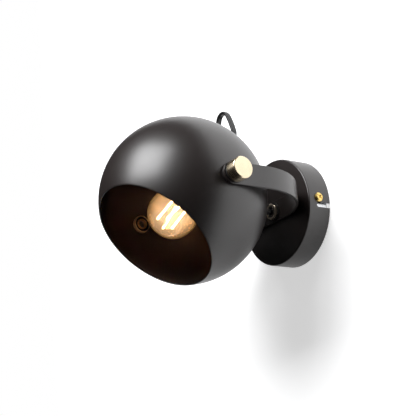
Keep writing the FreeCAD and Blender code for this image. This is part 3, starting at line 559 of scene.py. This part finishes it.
def spline_line(name, points, resolution=24):
    """Points along a smooth NURBS curve whose control points are given."""
    curve = bpy.data.curves.new(name, "CURVE")
    curve.dimensions = "3D"
    curve.resolution_u = resolution
    spline = curve.splines.new("NURBS")
    spline.points.add(len(points) - 1)
    spline.points.foreach_set("co", np.hstack([points, np.ones((len(points), 1))]).ravel())
    spline.order_u = 3
    spline.use_endpoint_u = True
    carrier = bpy.data.objects.new(name, curve)
    bpy.context.scene.collection.objects.link(carrier)
    bpy.context.view_layer.update()
    line = bpy.data.meshes.new_from_object(carrier)
    found = np.zeros(len(line.vertices) * 3)
    line.vertices.foreach_get("co", found)
    bpy.data.objects.remove(carrier)
    bpy.data.meshes.remove(line)
    return found.reshape(-1, 3)


flex_line = spline_line("flex_line", flex_route)

# %% [markdown]
# A flat section has a front, so it needs a steady direction along the line.  The broad face of the
# loop is seen edge-on to the wall, so its narrow side always points along one chosen direction,
# made square to the line at each point.

# %% The flex's body
def flat_section(width, thickness, count=28):
    """A flat flex: two round edges joined by faces with a shallow waist between the cores.

    With angle a, across = (w/2) * cos a, and half the thickness is (t/2) * sin a, raised to a low
    power so that the faces are flat, times 1 - 0.16 * (1 - (across/(w/2))^2)^4 for the waist.
    """
    a = np.arange(count) * 2 * np.pi / count
    across = np.sign(np.cos(a)) * np.abs(np.cos(a)) ** 0.8
    flat = np.sign(np.sin(a)) * np.abs(np.sin(a)) ** 0.55
    waist = 1 - 0.16 * (1 - across ** 2) ** 4
    return across * width / 2, flat * waist * thickness / 2


def carried_along(name, line, section, narrow_side):
    """Carry a section along a line: each point is line + across*b + up*c.

    c is the chosen narrow side less its part along the line, made unit length, and b = t x c.
    """
    tangent = np.gradient(line, axis=0)
    tangent /= np.linalg.norm(tangent, axis=1)[:, None]
    narrow = narrow_side - (narrow_side * tangent).sum(1)[:, None] * tangent
    narrow /= np.linalg.norm(narrow, axis=1)[:, None]
    broad = np.cross(tangent, narrow)
    across, up = section
    points = (line[:, None] + across[None, :, None] * broad[:, None]
              + up[None, :, None] * narrow[:, None])
    rows, columns = points.shape[:2]
    ends = line[[0, -1]]
    points = np.vstack([points.reshape(-1, 3), ends])
    faces = grid_faces(rows, columns)
    faces += cap_faces(columns, 0, rows * columns, 1)
    faces += cap_faces(columns, (rows - 1) * columns, rows * columns + 1, -1)
    piece = mesh_object(name, points, faces)
    face_outwards(piece)
    return piece


share = np.linspace(0, 1, len(flex_line))[:, None]
stem_side = np.array([0.94, 0.0, 0.34])
loop_plane = np.array([0.0, -1.0, 0.0])
inward = np.cross(np.gradient(flex_line, axis=0), loop_plane)
inward /= np.linalg.norm(inward, axis=1)[:, None]
turn_in = np.clip((share - 0.08) / 0.3, 0, 1)
flex_narrow = (1 - turn_in) * stem_side + turn_in * inward
flex = carried_along("flex_free", flex_line, flat_section(FLEX_WIDTH, FLEX_THICKNESS), flex_narrow)
flex.data.materials.append(sheath)
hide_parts("flex")
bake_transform(flex)
print("flex: %d faces" % len(flex.data.polygons))

# %% [markdown]
# ## Kept pieces and new pieces
# Small or hidden pieces keep their engineering mesh.  It is made of flat triangles, so a little
# geometry node group welds them and shades them smooth wherever two faces meet at a small angle.
# A new piece takes the place of its node, rides on the same body and gets its finish in one call.

# %% Helpers for kept and new pieces
def soft_shading_group(limit_degrees=30.0):
    """Nodes: merge by distance, shade faces smooth, keep edges above the limit sharp."""
    group = bpy.data.node_groups.new("weld_and_smooth", "GeometryNodeTree")
    group.interface.new_socket("Geometry", in_out="INPUT", socket_type="NodeSocketGeometry")
    group.interface.new_socket("Geometry", in_out="OUTPUT", socket_type="NodeSocketGeometry")
    start = group.nodes.new("NodeGroupInput")
    end = group.nodes.new("NodeGroupOutput")
    weld = group.nodes.new("GeometryNodeMergeByDistance")
    weld.inputs["Distance"].default_value = 0.000002
    faces = group.nodes.new("GeometryNodeSetShadeSmooth")
    angle = group.nodes.new("GeometryNodeInputMeshEdgeAngle")
    steep = group.nodes.new("FunctionNodeCompare")
    steep.data_type = "FLOAT"
    steep.operation = "GREATER_THAN"
    steep.inputs["B"].default_value = np.radians(limit_degrees)
    edges = group.nodes.new("GeometryNodeSetShadeSmooth")
    edges.domain = "EDGE"
    edges.inputs["Shade Smooth"].default_value = False
    link = group.links.new
    link(start.outputs[0], weld.inputs["Geometry"])
    link(weld.outputs["Geometry"], faces.inputs["Geometry"])
    link(faces.outputs["Geometry"], edges.inputs["Geometry"])
    link(angle.outputs["Unsigned Angle"], steep.inputs["A"])
    link(steep.outputs["Result"], edges.inputs["Selection"])
    link(edges.outputs["Geometry"], end.inputs[0])
    return group


weld_and_smooth = soft_shading_group()


def keep(material, *names):
    """Keep engineering nodes as they are, welded, softly shaded and in their finish."""
    for name in names:
        nodes[name].data.materials.clear()
        nodes[name].data.materials.append(material)
        modifier = nodes[name].modifiers.new("weld_and_smooth", "NODES")
        modifier.node_group = weld_and_smooth


def stand_for(piece, body, material, *names):
    """A new piece in its finish takes the place of nodes and rides on their body."""
    piece.data.materials.clear()
    piece.data.materials.append(material)
    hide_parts(*names)
    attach(piece, body)
    print("%s: %d faces" % (piece.name, len(piece.data.polygons)))


def drilled(piece, *cutters):
    """Cut closed meshes out of a piece and keep the result as its mesh."""
    for cutter in cutters:
        cut = piece.modifiers.new("cut", "BOOLEAN")
        cut.operation = "DIFFERENCE"
        cut.solver = "EXACT"
        cut.object = cutter
    bpy.context.view_layer.update()
    held = piece.evaluated_get(bpy.context.evaluated_depsgraph_get())
    solid = bpy.data.meshes.new_from_object(held)
    piece.modifiers.clear()
    old = piece.data
    piece.data = solid
    bpy.data.meshes.remove(old)
    for cutter in cutters:
        bpy.data.objects.remove(cutter)
    return piece


print("helpers ready")

# %% [markdown]
# ## The ball
# The shade is spun from a disc of steel over a wooden form, then pressed flat where the arms bear
# and where the cord grip sits.  A distance field in polar angles does this in one line: along each
# direction the wall is at the ball's radius, or at a flat's plane where that is nearer.  A soft
# minimum rounds the rim of each flat as the press does.  The inside is the same field, one wall
# thickness smaller, and a small half round joins the two at the mouth.

# %% Ball shade
PIVOT_FLAT = np.sqrt(75.0 ** 2 - 9.5 ** 2) * MM
POLE_HOLE = 5.2 * MM


def wall_distance(direction, inset):
    """Soft minimum -k ln(sum exp(-r/k)) of the ball's radius and each flat's plane distance."""
    across = np.abs(direction[..., 0])
    behind = np.maximum(-(direction @ AIM_AXIS), 1e-6)
    limits = np.stack([np.full_like(across, BALL_RADIUS - inset),
                       (PIVOT_FLAT - inset) / np.maximum(across, 1e-6),
                       (POLE_FLAT - inset) / behind])
    k = 0.00005
    least = limits.min(0)
    return least - k * np.log(np.exp(-(limits - least) / k).sum(0))


def ball_shade(columns=256, rows=150):
    """The shell's points: centre + distance * (cos b * back + sin b * (u cos a + v sin a)).

    b runs from the pole's hole to the mouth, outside and then back inside, and a round the axis.
    """
    first = np.arcsin(POLE_HOLE / BALL_RADIUS)
    last = np.pi - np.arcsin(MOUTH_RADIUS / BALL_RADIUS)
    outside = np.linspace(first, last, rows)
    rim = np.linspace(0, np.pi, 9)[1:-1]
    half = BALL_WALL / 2
    rim_angle = last + half * np.sin(rim) / BALL_RADIUS * 0.6
    angle = np.concatenate([outside, rim_angle, outside[::-1]])
    inset = np.concatenate([np.zeros(rows), half * (1 - np.cos(rim)), np.full(rows, BALL_WALL)])
    a = np.arange(columns) * 2 * np.pi / columns
    u, v = side_vectors(AIM_AXIS)
    direction = (-np.cos(angle)[:, None, None] * AIM_AXIS
                 + np.sin(angle)[:, None, None]
                 * (np.cos(a)[:, None] * u + np.sin(a)[:, None] * v)[None])
    points = PIVOT + direction * wall_distance(direction, inset[:, None])[..., None]
    faces = grid_faces(len(angle), columns, close_rows=True)
    piece = mesh_object("ball_shade", points, faces)
    face_outwards(piece)
    keep_corners(piece, 50.0)
    return piece


stand_for(ball_shade(), "shade", black_coat, "shade")

# %% [markdown]
# ## The strap yoke
# The yoke is a flat bar, bent round to a U and rounded off at both ends.  So its surface is a
# rectangle with softened edges, carried along a line of straights and quarter bends.  Near each end
# the rectangle narrows as a half circle does, which rounds the arm off about the pivot.

# %% Strap yoke
STRAP_WIDTH = 20.0 * MM
STRAP_THICKNESS = 2.5 * MM
STRAP_FLAT = 9.0 * MM
ARM_INSIDE = PIVOT_FLAT + 2.1 * MM
ARM_OUTSIDE = ARM_INSIDE + STRAP_THICKNESS
WEB_FACE = -24.1 * MM


def strap_line(samples=26):
    """Half the strap's middle line from the arm's end to the web's middle, with outward normals."""
    arm_x = ARM_OUTSIDE - STRAP_THICKNESS / 2
    bend = arm_x - STRAP_FLAT
    bend_y = WEB_FACE - STRAP_THICKNESS / 2 - bend
    end = PIVOT_Y - STRAP_WIDTH / 2
    near_end = end + STRAP_WIDTH / 2 * (1 - np.cos(np.linspace(0.02, np.pi / 2, 24)))
    arm = np.linspace(near_end[-1], bend_y, 7)[1:]
    turn = np.linspace(0, np.pi / 2, samples)[1:]
    web = np.linspace(STRAP_FLAT, 0, 4)[1:]
    x = np.concatenate([np.full(len(near_end) + len(arm), arm_x), STRAP_FLAT + bend * np.cos(turn), web])
    y = np.concatenate([near_end, arm, bend_y + bend * np.sin(turn), np.full(len(web), bend_y + bend)])
    nx = np.concatenate([np.ones(len(near_end) + len(arm)), np.cos(turn), 0 * web])
    ny = np.concatenate([np.zeros(len(near_end) + len(arm)), np.sin(turn), 1 + 0 * web])
    past = np.clip(PIVOT_Y - y, 0, None)
    half = np.sqrt(np.maximum((STRAP_WIDTH / 2) ** 2 - past ** 2, (0.05 * MM) ** 2))
    return np.stack([x, y, nx, ny, half], axis=1)


def soft_rectangle(half_width, thickness, edge, steps=5):
    """Closed outline of a bar, (across, up): corner arcs of radius edge, with a point beside each."""
    edge = np.minimum(edge, 0.9 * half_width)[:, None]
    turn = np.linspace(0, np.pi / 2, steps)
    beside = 0.35 * MM
    across = np.concatenate([[0.0], np.sin(turn), [1.0]])
    up = np.concatenate([[1.0], np.cos(turn), [0.0]])
    pull = np.concatenate([[beside], np.zeros(steps), [0.0]])
    drop = np.concatenate([[0.0], np.zeros(steps), [beside * 0.6]])
    w = half_width[:, None]
    quarter_x = np.maximum(w - edge + edge * across - np.minimum(pull, 0.5 * (w - edge)), 0.0)
    quarter_y = thickness / 2 - edge + edge * up - drop
    x = np.concatenate([quarter_x, quarter_x[:, ::-1], -quarter_x, -quarter_x[:, ::-1]], axis=1)
    y = np.concatenate([quarter_y, -quarter_y[:, ::-1], -quarter_y, quarter_y[:, ::-1]], axis=1)
    return x, y


def strap_yoke():
    """Middle line + up * normal + across * Z, mirrored in X for the other arm."""
    half_line = strap_line()
    other = half_line[-2::-1] * np.array([-1, 1, -1, 1, 1])
    line = np.vstack([half_line, other])
    across, up = soft_rectangle(line[:, 4], STRAP_THICKNESS, 0.45 * MM)
    points = np.stack([line[:, :1] + up * line[:, 2:3], line[:, 1:2] + up * line[:, 3:4], across], axis=-1)
    rows, columns = points.shape[:2]
    ends = np.array([[line[0, 0], line[0, 1], 0.0], [line[-1, 0], line[-1, 1], 0.0]])
    faces = grid_faces(rows, columns)
    faces += cap_faces(columns, 0, rows * columns, 1)
    faces += cap_faces(columns, (rows - 1) * columns, rows * columns + 1, -1)
    piece = mesh_object("strap_yoke", np.vstack([points.reshape(-1, 3), ends]), faces)
    face_outwards(piece)
    return piece


def drill(origin, axis, radius, low, high):
    outline = [(low, 0.0), (low, radius), (high, radius), (high, 0.0)]
    return swept_round("drill", outline, origin, axis, segments=64)


RUNNING_HOLE = 5.08 * MM
yoke = drilled(strap_yoke(),
               drill(PIVOT, X_AXIS, RUNNING_HOLE, -0.1, 0.1),
               drill(np.zeros(3), OUT_AXIS, RUNNING_HOLE, 0.02, 0.03))
keep_corners(yoke, 40.0)
stand_for(yoke, "yoke", black_coat, "yoke")

# %% [markdown]
# ## Canopy
# The canopy is a pressed cup.  Its outline is turned round the stem's axis, and two L-shaped slots
# are cut in its side, so that it can be hung on two screws and locked by a small turn.

# %% Canopy cup with bayonet slots
CANOPY_RADIUS = 50.0 * MM
CANOPY_DEPTH = 24.0 * MM
CANOPY_WALL = 1.2 * MM
SLOT_RADIUS = 2.2 * MM
SLOT_OFFSET = 6.72 * MM
SCREW_DEPTH = 13.0 * MM


def bayonet_cutter(side):
    """An L outline in (arc length, depth), bent round the cup: (r cos(s/R), depth, r sin(s/R))."""
    turn = np.linspace(0, np.pi / 2, 9)
    end = np.linspace(np.pi / 2, -np.pi / 2, 17)
    s = np.concatenate([[-SLOT_OFFSET - SLOT_RADIUS], -SLOT_OFFSET - SLOT_RADIUS * np.cos(turn),
                        SLOT_RADIUS * np.cos(end), [-SLOT_OFFSET + SLOT_RADIUS] * 2])
    d = np.concatenate([[-0.001], SCREW_DEPTH + SLOT_RADIUS * np.sin(turn),
                        SCREW_DEPTH + SLOT_RADIUS * np.sin(end), [SCREW_DEPTH - SLOT_RADIUS, -0.001]])
    reach = np.array([CANOPY_RADIUS - 3 * MM, CANOPY_RADIUS + 2 * MM])[:, None]
    angle = s / CANOPY_RADIUS
    points = np.stack([side * reach * np.cos(angle), -d + 0 * reach, side * reach * np.sin(angle)], axis=-1)
    count = len(s)
    faces = grid_faces(2, count)
    faces.append(list(range(count)))
    faces.append(list(range(2 * count - 1, count - 1, -1)))
    cutter = mesh_object("slot", points, faces)
    face_outwards(cutter)
    return cutter


cup_outline = rounded([(0.0, CANOPY_RADIUS), (CANOPY_DEPTH, CANOPY_RADIUS), (CANOPY_DEPTH, 5.2 * MM),
                       (CANOPY_DEPTH - CANOPY_WALL, 5.2 * MM),
                       (CANOPY_DEPTH - CANOPY_WALL, CANOPY_RADIUS - CANOPY_WALL),
                       (0.0, CANOPY_RADIUS - CANOPY_WALL)],
                      [0.2 * MM, 1.7 * MM, 0.2 * MM, 0.2 * MM, 0.8 * MM, 0.2 * MM], steps=7)
canopy = swept_round("canopy_cup", cup_outline, np.zeros(3), OUT_AXIS, segments=160)
canopy = drilled(canopy, bayonet_cutter(1), bayonet_cutter(-1))
keep_corners(canopy, 35.0)
stand_for(canopy, "wall_base", black_coat, "canopy")

# %% [markdown]
# ## Knobs, washers and nuts at the pivots
# On each side the knob clamps washer, arm and ball together.  All of it is turned about the tilt
# axis, so each piece is one outline in (distance along X, distance from the axis).

# %% Knobs and washers
def along_x(name, side, corners, edge, segments=96):
    """Turn an outline about the tilt axis; side is 1 on the right and -1 on the left."""
    return swept_round(name, rounded(corners, edge), PIVOT, X_AXIS * side, segments)


KNOB_SEAT = ARM_OUTSIDE + 1.6 * MM
KNOB_SHOULDER = KNOB_SEAT + 1.2 * MM
KNOB_FACE = KNOB_SHOULDER + 11.0 * MM
KNOB_RADIUS = 9.7 * MM
KNOB_NECK = 7.5 * MM
KNOB_BEVEL = 0.75 * MM
THREAD = 5.0 * MM
CLEAR_BORE = 5.2 * MM
WASHER_SEAT = ARM_OUTSIDE + 0.1 * MM
NUT_SEAT = PIVOT_FLAT - BALL_WALL
NUT_HEIGHT = 3.2 * MM

for side, word in ((1, "right"), (-1, "left")):
    knob = along_x("knob_" + word + "_turned", side,
                   [(KNOB_SEAT, THREAD + 0.08 * MM), (KNOB_SEAT, KNOB_NECK), (KNOB_SHOULDER, KNOB_NECK),
                    (KNOB_SHOULDER, KNOB_RADIUS), (KNOB_FACE - KNOB_BEVEL, KNOB_RADIUS),
                    (KNOB_FACE, KNOB_RADIUS - KNOB_BEVEL), (KNOB_FACE, 0.0),
                    (KNOB_SEAT + 8.0 * MM, 0.0), (KNOB_SEAT + 8.0 * MM, THREAD + 0.08 * MM)],
                   0.12 * MM, segments=128)
    stand_for(knob, "knob_" + word, pale_brass, "knob_" + word)
    washer = along_x("knob_washer_" + word + "_turned", side,
                     ring_outline(WASHER_SEAT, WASHER_SEAT + 1.4 * MM, CLEAR_BORE, 8.8 * MM), 0.25 * MM)
    stand_for(washer, "shade", black_nylon, "knob_washer_" + word)
    pad = along_x("friction_washer_" + word + "_turned", side,
                  ring_outline(PIVOT_FLAT, PIVOT_FLAT + 2.0 * MM, CLEAR_BORE, 9.0 * MM), 0.3 * MM)
    stand_for(pad, "shade", black_nylon, "friction_washer_" + word)
    nut = along_x("ring_nut_" + word + "_turned", side,
                  [(NUT_SEAT, THREAD + 0.05 * MM), (NUT_SEAT, 8.25 * MM), (NUT_SEAT - 2.5 * MM, 8.25 * MM),
                   (NUT_SEAT - NUT_HEIGHT, 7.75 * MM), (NUT_SEAT - NUT_HEIGHT, 7.1 * MM),
                   (NUT_SEAT - 2.1 * MM, 6.6 * MM), (NUT_SEAT - 2.1 * MM, THREAD + 0.05 * MM)], 0.3 * MM)
    stand_for(nut, "shade", painted_lit_ring_brass, "pivot_ring_nut_" + word)
    nipple = along_x("pivot_nipple_" + word + "_turned", side,
                     ring_outline(NUT_SEAT - NUT_HEIGHT, KNOB_SEAT + 7.5 * MM, 3.5 * MM, THREAD),
                     0.3 * MM, segments=64)
    stand_for(nipple, "shade", inner_brass, "pivot_nipple_" + word)

# %% [markdown]
# ## Stem, nut and washer
# The hollow stem carries the flex through the yoke and the canopy.  A hexagon nut is a turned
# outline whose distance from the axis is also limited by its six flats: the flat's distance over
# the cosine of the angle from the flat's middle.

# %% Stem group
def hexagon(flats):
    """Limit the distance from the axis to flats/2 / cos(angle to the nearest flat's middle)."""
    def limit(reach, height, angle):
        nearest = (angle + np.pi / 6) % (np.pi / 3) - np.pi / 6
        return np.minimum(reach, flats / 2 / np.cos(nearest))
    return limit


NUT_BACK = 27.5 * MM
NUT_FRONT = 30.1 * MM
nut_outline = rounded([(NUT_BACK, THREAD + 0.05 * MM), (NUT_BACK, 6.8 * MM), (NUT_BACK + 0.6 * MM, 8.08 * MM),
                       (NUT_FRONT - 0.6 * MM, 8.08 * MM), (NUT_FRONT, 6.8 * MM),
                       (NUT_FRONT, THREAD + 0.5 * MM), (NUT_FRONT - 0.45 * MM, THREAD + 0.05 * MM)],
                      0.1 * MM)
stem_nut = swept_round("stem_nut_turned", nut_outline, np.zeros(3), OUT_AXIS, 144, hexagon(14.0 * MM))
keep_corners(stem_nut, 28.0)
stand_for(stem_nut, "wall_base", bronze_plate, "stem_outer_nut")

stem_tube = swept_round("stem_tube_turned",
                        rounded(ring_outline(17.0 * MM, 30.5 * MM, 3.6 * MM, THREAD), 0.35 * MM),
                        np.zeros(3), OUT_AXIS, 72)
stand_for(stem_tube, "wall_base", black_oxide, "stem_nipple")

stem_washer = swept_round("stem_washer_turned",
                          rounded(ring_outline(26.7 * MM, NUT_BACK, CLEAR_BORE, 9.0 * MM), 0.25 * MM),
                          np.zeros(3), OUT_AXIS, 72)
stand_for(stem_washer, "wall_base", black_nylon, "stem_washer")

# %% [markdown]
# ## Cord grip and lampholder
# The grip is screwed through the back of the ball into the lampholder's neck.  Both are moulded and
# turned about the line along which the light points, so the outline's height runs along that line
# from the ball's centre.

# %% Cord grip and lampholder
def along_aim(name, corners, edge, segments=96, steps=5):
    """Turn an outline of (height along the aim, distance) about the line the light points along."""
    return swept_round(name, rounded(corners, edge, steps), PIVOT, AIM_AXIS, segments)


grip = along_aim("cord_grip_turned",
                 [(-POLE_FLAT + 9 * MM, 3.0 * MM), (-POLE_FLAT + 9 * MM, THREAD), (-POLE_FLAT, THREAD),
                  (-POLE_FLAT, 6.5 * MM), (-GRIP_MOUTH + 3 * MM, 6.5 * MM), (-GRIP_MOUTH, 4.2 * MM),
                  (-GRIP_MOUTH, 3.0 * MM)], 0.5 * MM)
stand_for(grip, "shade", black_nylon, "cord_grip")

BULB_TIP = (18.0 + 22.306 - 76.0) * MM
CORE_FACE = BULB_TIP - 2.2 * MM
HOLDER_BACK = -POLE_FLAT + BALL_WALL
DOME_BACK = HOLDER_BACK + 8.0 * MM
JOINT = CORE_FACE - 5.0 * MM
holder_edges = np.array([9.0, 0.4, 0.3, 7.0, 0.3, 0.3, 0.3, 0.6]) * MM
dome = along_aim("holder_dome_turned",
                 [(DOME_BACK, 20 * MM), (JOINT, 20 * MM), (JOINT, 18 * MM), (DOME_BACK + 2 * MM, 18 * MM),
                  (DOME_BACK + 2 * MM, 5.05 * MM), (HOLDER_BACK, 5.05 * MM), (HOLDER_BACK, 8.5 * MM),
                  (DOME_BACK, 8.5 * MM)], holder_edges, 128, steps=12)
stand_for(dome, "shade", phenolic, "holder_dome")

LINER_OUTSIDE = 13.7 * MM
sleeve_front = CORE_FACE + 24.4 * MM
sleeve_inner = LINER_OUTSIDE + 0.2 * MM
sleeve = along_aim("holder_sleeve_turned",
                   [(JOINT - 5.6 * MM, 16.15 * MM), (JOINT - 5.6 * MM, 17.95 * MM), (JOINT, 17.95 * MM),
                    (JOINT, 20 * MM), (sleeve_front, 20 * MM), (sleeve_front, sleeve_inner),
                    (CORE_FACE + 0.4 * MM, sleeve_inner), (CORE_FACE + 0.4 * MM, 16.15 * MM)],
                   np.array([0.1, 0.1, 0.1, 0.3, 1.5, 0.5, 0.1, 0.1]) * MM, 128, steps=8)
stand_for(sleeve, "shade", phenolic, "holder_sleeve")

# %% [markdown]
# ## The bulb
# A blown globe runs into its neck by a hollow curve.  The curve is tangent to both, so its centre is
# a globe's radius plus its own from the globe's centre, and a neck's radius plus its own from the
# axis.  The envelope is one closed wall, outside and inside, so that light passes it as it does
# real glass.  The cap has a true screw thread: its distance from the axis is a rounded wave of the
# height less the angle's share of the pitch.

# %% Bulb envelope
GLOBE = 22.306 * MM
GLOBE_CENTRE = 18.0 * MM
NECK = 12.5 * MM
HOLLOW = 11.95 * MM
GLASS_WALL = 0.8 * MM
CAP_RIM = BULB_TIP + 27.0 * MM
GLASS_TAIL = CAP_RIM - 6.0 * MM


def envelope_side(globe, neck, hollow):
    """(height, distance) from the front pole to the neck's tail: an arc, a hollow arc, a straight."""
    back = np.sqrt((globe + hollow) ** 2 - (neck + hollow) ** 2)
    meet = np.arctan2(neck + hollow, -back)
    a = np.linspace(0, meet, 60)
    b = np.linspace(meet, np.pi / 2, 16)[1:]
    tail = np.linspace(GLOBE_CENTRE - back, GLASS_TAIL, 5)[1:]
    height = np.concatenate([GLOBE_CENTRE + globe * np.cos(a), GLOBE_CENTRE - back - hollow * np.cos(b),
                             tail])
    reach = np.concatenate([globe * np.sin(a), neck + hollow - hollow * np.sin(b), np.full(4, neck)])
    reach[0] = 0.0
    return np.stack([height, reach], axis=1)


outside = envelope_side(GLOBE, NECK, HOLLOW)
inside = envelope_side(GLOBE - GLASS_WALL, NECK - GLASS_WALL, HOLLOW + GLASS_WALL)
envelope = swept_round("bulb_envelope", np.vstack([outside, inside[::-1]]), PIVOT, AIM_AXIS, 128)
stand_for(envelope, "shade", amber_glass, "bulb_glass")

# %% Bulb cap with its screw thread
CAP_ROOT = 12.2 * MM
THREAD_DEPTH = 0.9 * MM
THREAD_PITCH = 3.6 * MM
cap_end = BULB_TIP + 3.2 * MM
skirt_back = CAP_RIM - 6.0 * MM


def screwed(reach, height, angle):
    """Outside the cap: root + depth * smooth wave((h + pitch * a / 2pi) / pitch), faded at both ends."""
    phase = height / THREAD_PITCH + angle / (2 * np.pi)
    wave = 0.5 + 0.5 * np.sin(2 * np.pi * phase)
    fade = np.clip((height - cap_end - 0.8 * MM) / (1.5 * MM), 0, 1)
    fade = fade * np.clip((skirt_back - height) / (1.5 * MM), 0, 1)
    return np.where(np.abs(reach - CAP_ROOT) < 1e-6, reach + THREAD_DEPTH * wave ** 0.7 * fade, reach)


threaded = np.stack([np.linspace(skirt_back, cap_end + 0.6 * MM, 90), np.full(90, CAP_ROOT)], axis=1)
inner_root = CAP_ROOT - 0.5 * MM
cap_outline = np.vstack([
    [(CAP_RIM, 12.7 * MM), (CAP_RIM, 13.15 * MM), (CAP_RIM - 0.3 * MM, 13.2 * MM),
     (skirt_back + 0.3 * MM, 13.2 * MM)],
    threaded,
    [(cap_end, CAP_ROOT - 1.0 * MM), (cap_end, CAP_ROOT - 1.5 * MM), (cap_end + 0.6 * MM, inner_root),
     (skirt_back, inner_root), (skirt_back, 12.7 * MM)]])
cap = swept_round("bulb_cap_threaded", cap_outline, PIVOT, AIM_AXIS, 96, screwed)
keep_corners(cap, 40.0)
stand_for(cap, "shade", nickel, "bulb_cap")

# %% [markdown]
# ## What keeps its engineering mesh
# The rest is small, flat-sided or inside the canopy and the lampholder.

# %% Finishes of the kept nodes
keep(zinc, "wall_bracket", "stem_inner_nut", "lock_washer", "terminal_screws", "terminal_block_screws",
     "earth_screw")
keep(screw_brass, "canopy_screws")
keep(milky_nylon, "terminal_block")
keep(sheath, "flex_in_canopy", "flex_in_shade", "flex_cores")
keep(black_nylon, "cord_grip_screw")
keep(ceramic, "holder_core")
keep(inner_brass, "holder_liner", "holder_centre_contact")
keep(nickel, "bulb_eyelet", "bulb_lead_wires")
keep(black_glass, "bulb_insulator")
keep(stem_clear_glass, "bulb_stem")
keep(lit_bars, "bulb_filaments")

# %% [markdown]
# ## Wall and light
# The lamp hangs on a plain white wall.  For the camera, and in glass and metal, the wall adds a
# little of its own light so that it reads as white, while the light that falls on it still shows
# the lamp's soft shadow.  One large soft lamp stands high in front, where the ball's highlight
# mirrors it.  The pale wall is the other thing that the black coat mirrors: it lights the ball's
# right side and lower edge, and the rest of the room is dark, so those two alone draw the form.
# What the camera sees past the wall, directly or through glass, is a plain white.

# %% Wall
def white_surround(name, added):
    """Matt white with added light for camera, glossy and transmission rays; clear from behind."""
    material = bpy.data.materials.new(name)
    material.use_nodes = True
    n, links = material.node_tree.nodes, material.node_tree.links
    n.clear()
    matt = n.new("ShaderNodeBsdfDiffuse")
    matt.inputs["Color"].default_value = (0.9, 0.9, 0.9, 1.0)
    light = n.new("ShaderNodeEmission")
    ray = n.new("ShaderNodeLightPath")
    seen = either(n, links, ray.outputs["Is Camera Ray"], ray.outputs["Is Glossy Ray"],
                  ray.outputs["Is Transmission Ray"])
    scaled = n.new("ShaderNodeMath")
    scaled.operation = "MULTIPLY"
    scaled.inputs[1].default_value = added
    links.new(seen, scaled.inputs[0])
    links.new(scaled.outputs["Value"], light.inputs["Strength"])
    total = n.new("ShaderNodeAddShader")
    links.new(matt.outputs["BSDF"], total.inputs[0])
    links.new(light.outputs["Emission"], total.inputs[1])
    side = n.new("ShaderNodeNewGeometry")
    clear = n.new("ShaderNodeBsdfTransparent")
    one_sided = n.new("ShaderNodeMixShader")
    links.new(side.outputs["Backfacing"], one_sided.inputs["Fac"])
    links.new(total.outputs["Shader"], one_sided.inputs[1])
    links.new(clear.outputs["BSDF"], one_sided.inputs[2])
    out = n.new("ShaderNodeOutputMaterial")
    links.new(one_sided.outputs["Shader"], out.inputs["Surface"])
    return material


WALL_HALF = 0.5
WALL_GAP = 0.0003
wall_points = np.array([(-WALL_HALF, WALL_GAP, -WALL_HALF), (WALL_HALF, WALL_GAP, -WALL_HALF),
                        (WALL_HALF, WALL_GAP, WALL_HALF), (-WALL_HALF, WALL_GAP, WALL_HALF)])
wall = mesh_object("wall", wall_points, [[0, 1, 2, 3]], smooth=False)
wall.data.materials.append(white_surround("white_wall", 0.6))

# %% Lamps and surroundings
def soft_lamp(name, place, target, size, power, colour=(1.0, 1.0, 1.0)):
    """A square area lamp at a place, turned so that its -Z looks at a target."""
    data = bpy.data.lights.new(name, "AREA")
    data.shape = "SQUARE"
    data.size = size
    data.energy = power
    data.color = colour
    lamp = bpy.data.objects.new(name, data)
    back = np.subtract(place, target)
    back = back / np.linalg.norm(back)
    u, v = side_vectors(back)
    pose = np.eye(4)
    pose[:3, :3] = np.column_stack([u, v, back])
    pose[:3, 3] = place
    lamp.matrix_world = Matrix(pose.tolist())
    bpy.context.scene.collection.objects.link(lamp)
    return lamp


DARK_ROOM = 0.03
WHITE_BACKDROP = 1.0
soft_lamp("key", (0.12, -1.1, 0.86), PIVOT, 1.0, 30.0, (0.985, 0.99, 1.0))

world = bpy.data.worlds.new("dark_room_white_backdrop")
world.use_nodes = True
background = world.node_tree.nodes["Background"]
background.inputs["Color"].default_value = (1.0, 1.0, 1.0, 1.0)
world_nodes, world_links = world.node_tree.nodes, world.node_tree.links
path = world_nodes.new("ShaderNodeLightPath")
level = world_nodes.new("ShaderNodeMapRange")
level.inputs["To Min"].default_value = DARK_ROOM
level.inputs["To Max"].default_value = WHITE_BACKDROP
world_links.new(either(world_nodes, world_links, path.outputs["Is Camera Ray"],
                       path.outputs["Is Transmission Ray"]), level.inputs["Value"])
world_links.new(level.outputs["Result"], background.inputs["Strength"])
bpy.context.scene.world = world
bpy.context.scene.view_settings.view_transform = "Standard"
print("lamps set")

# %% Update the scene
bpy.context.view_layer.update()
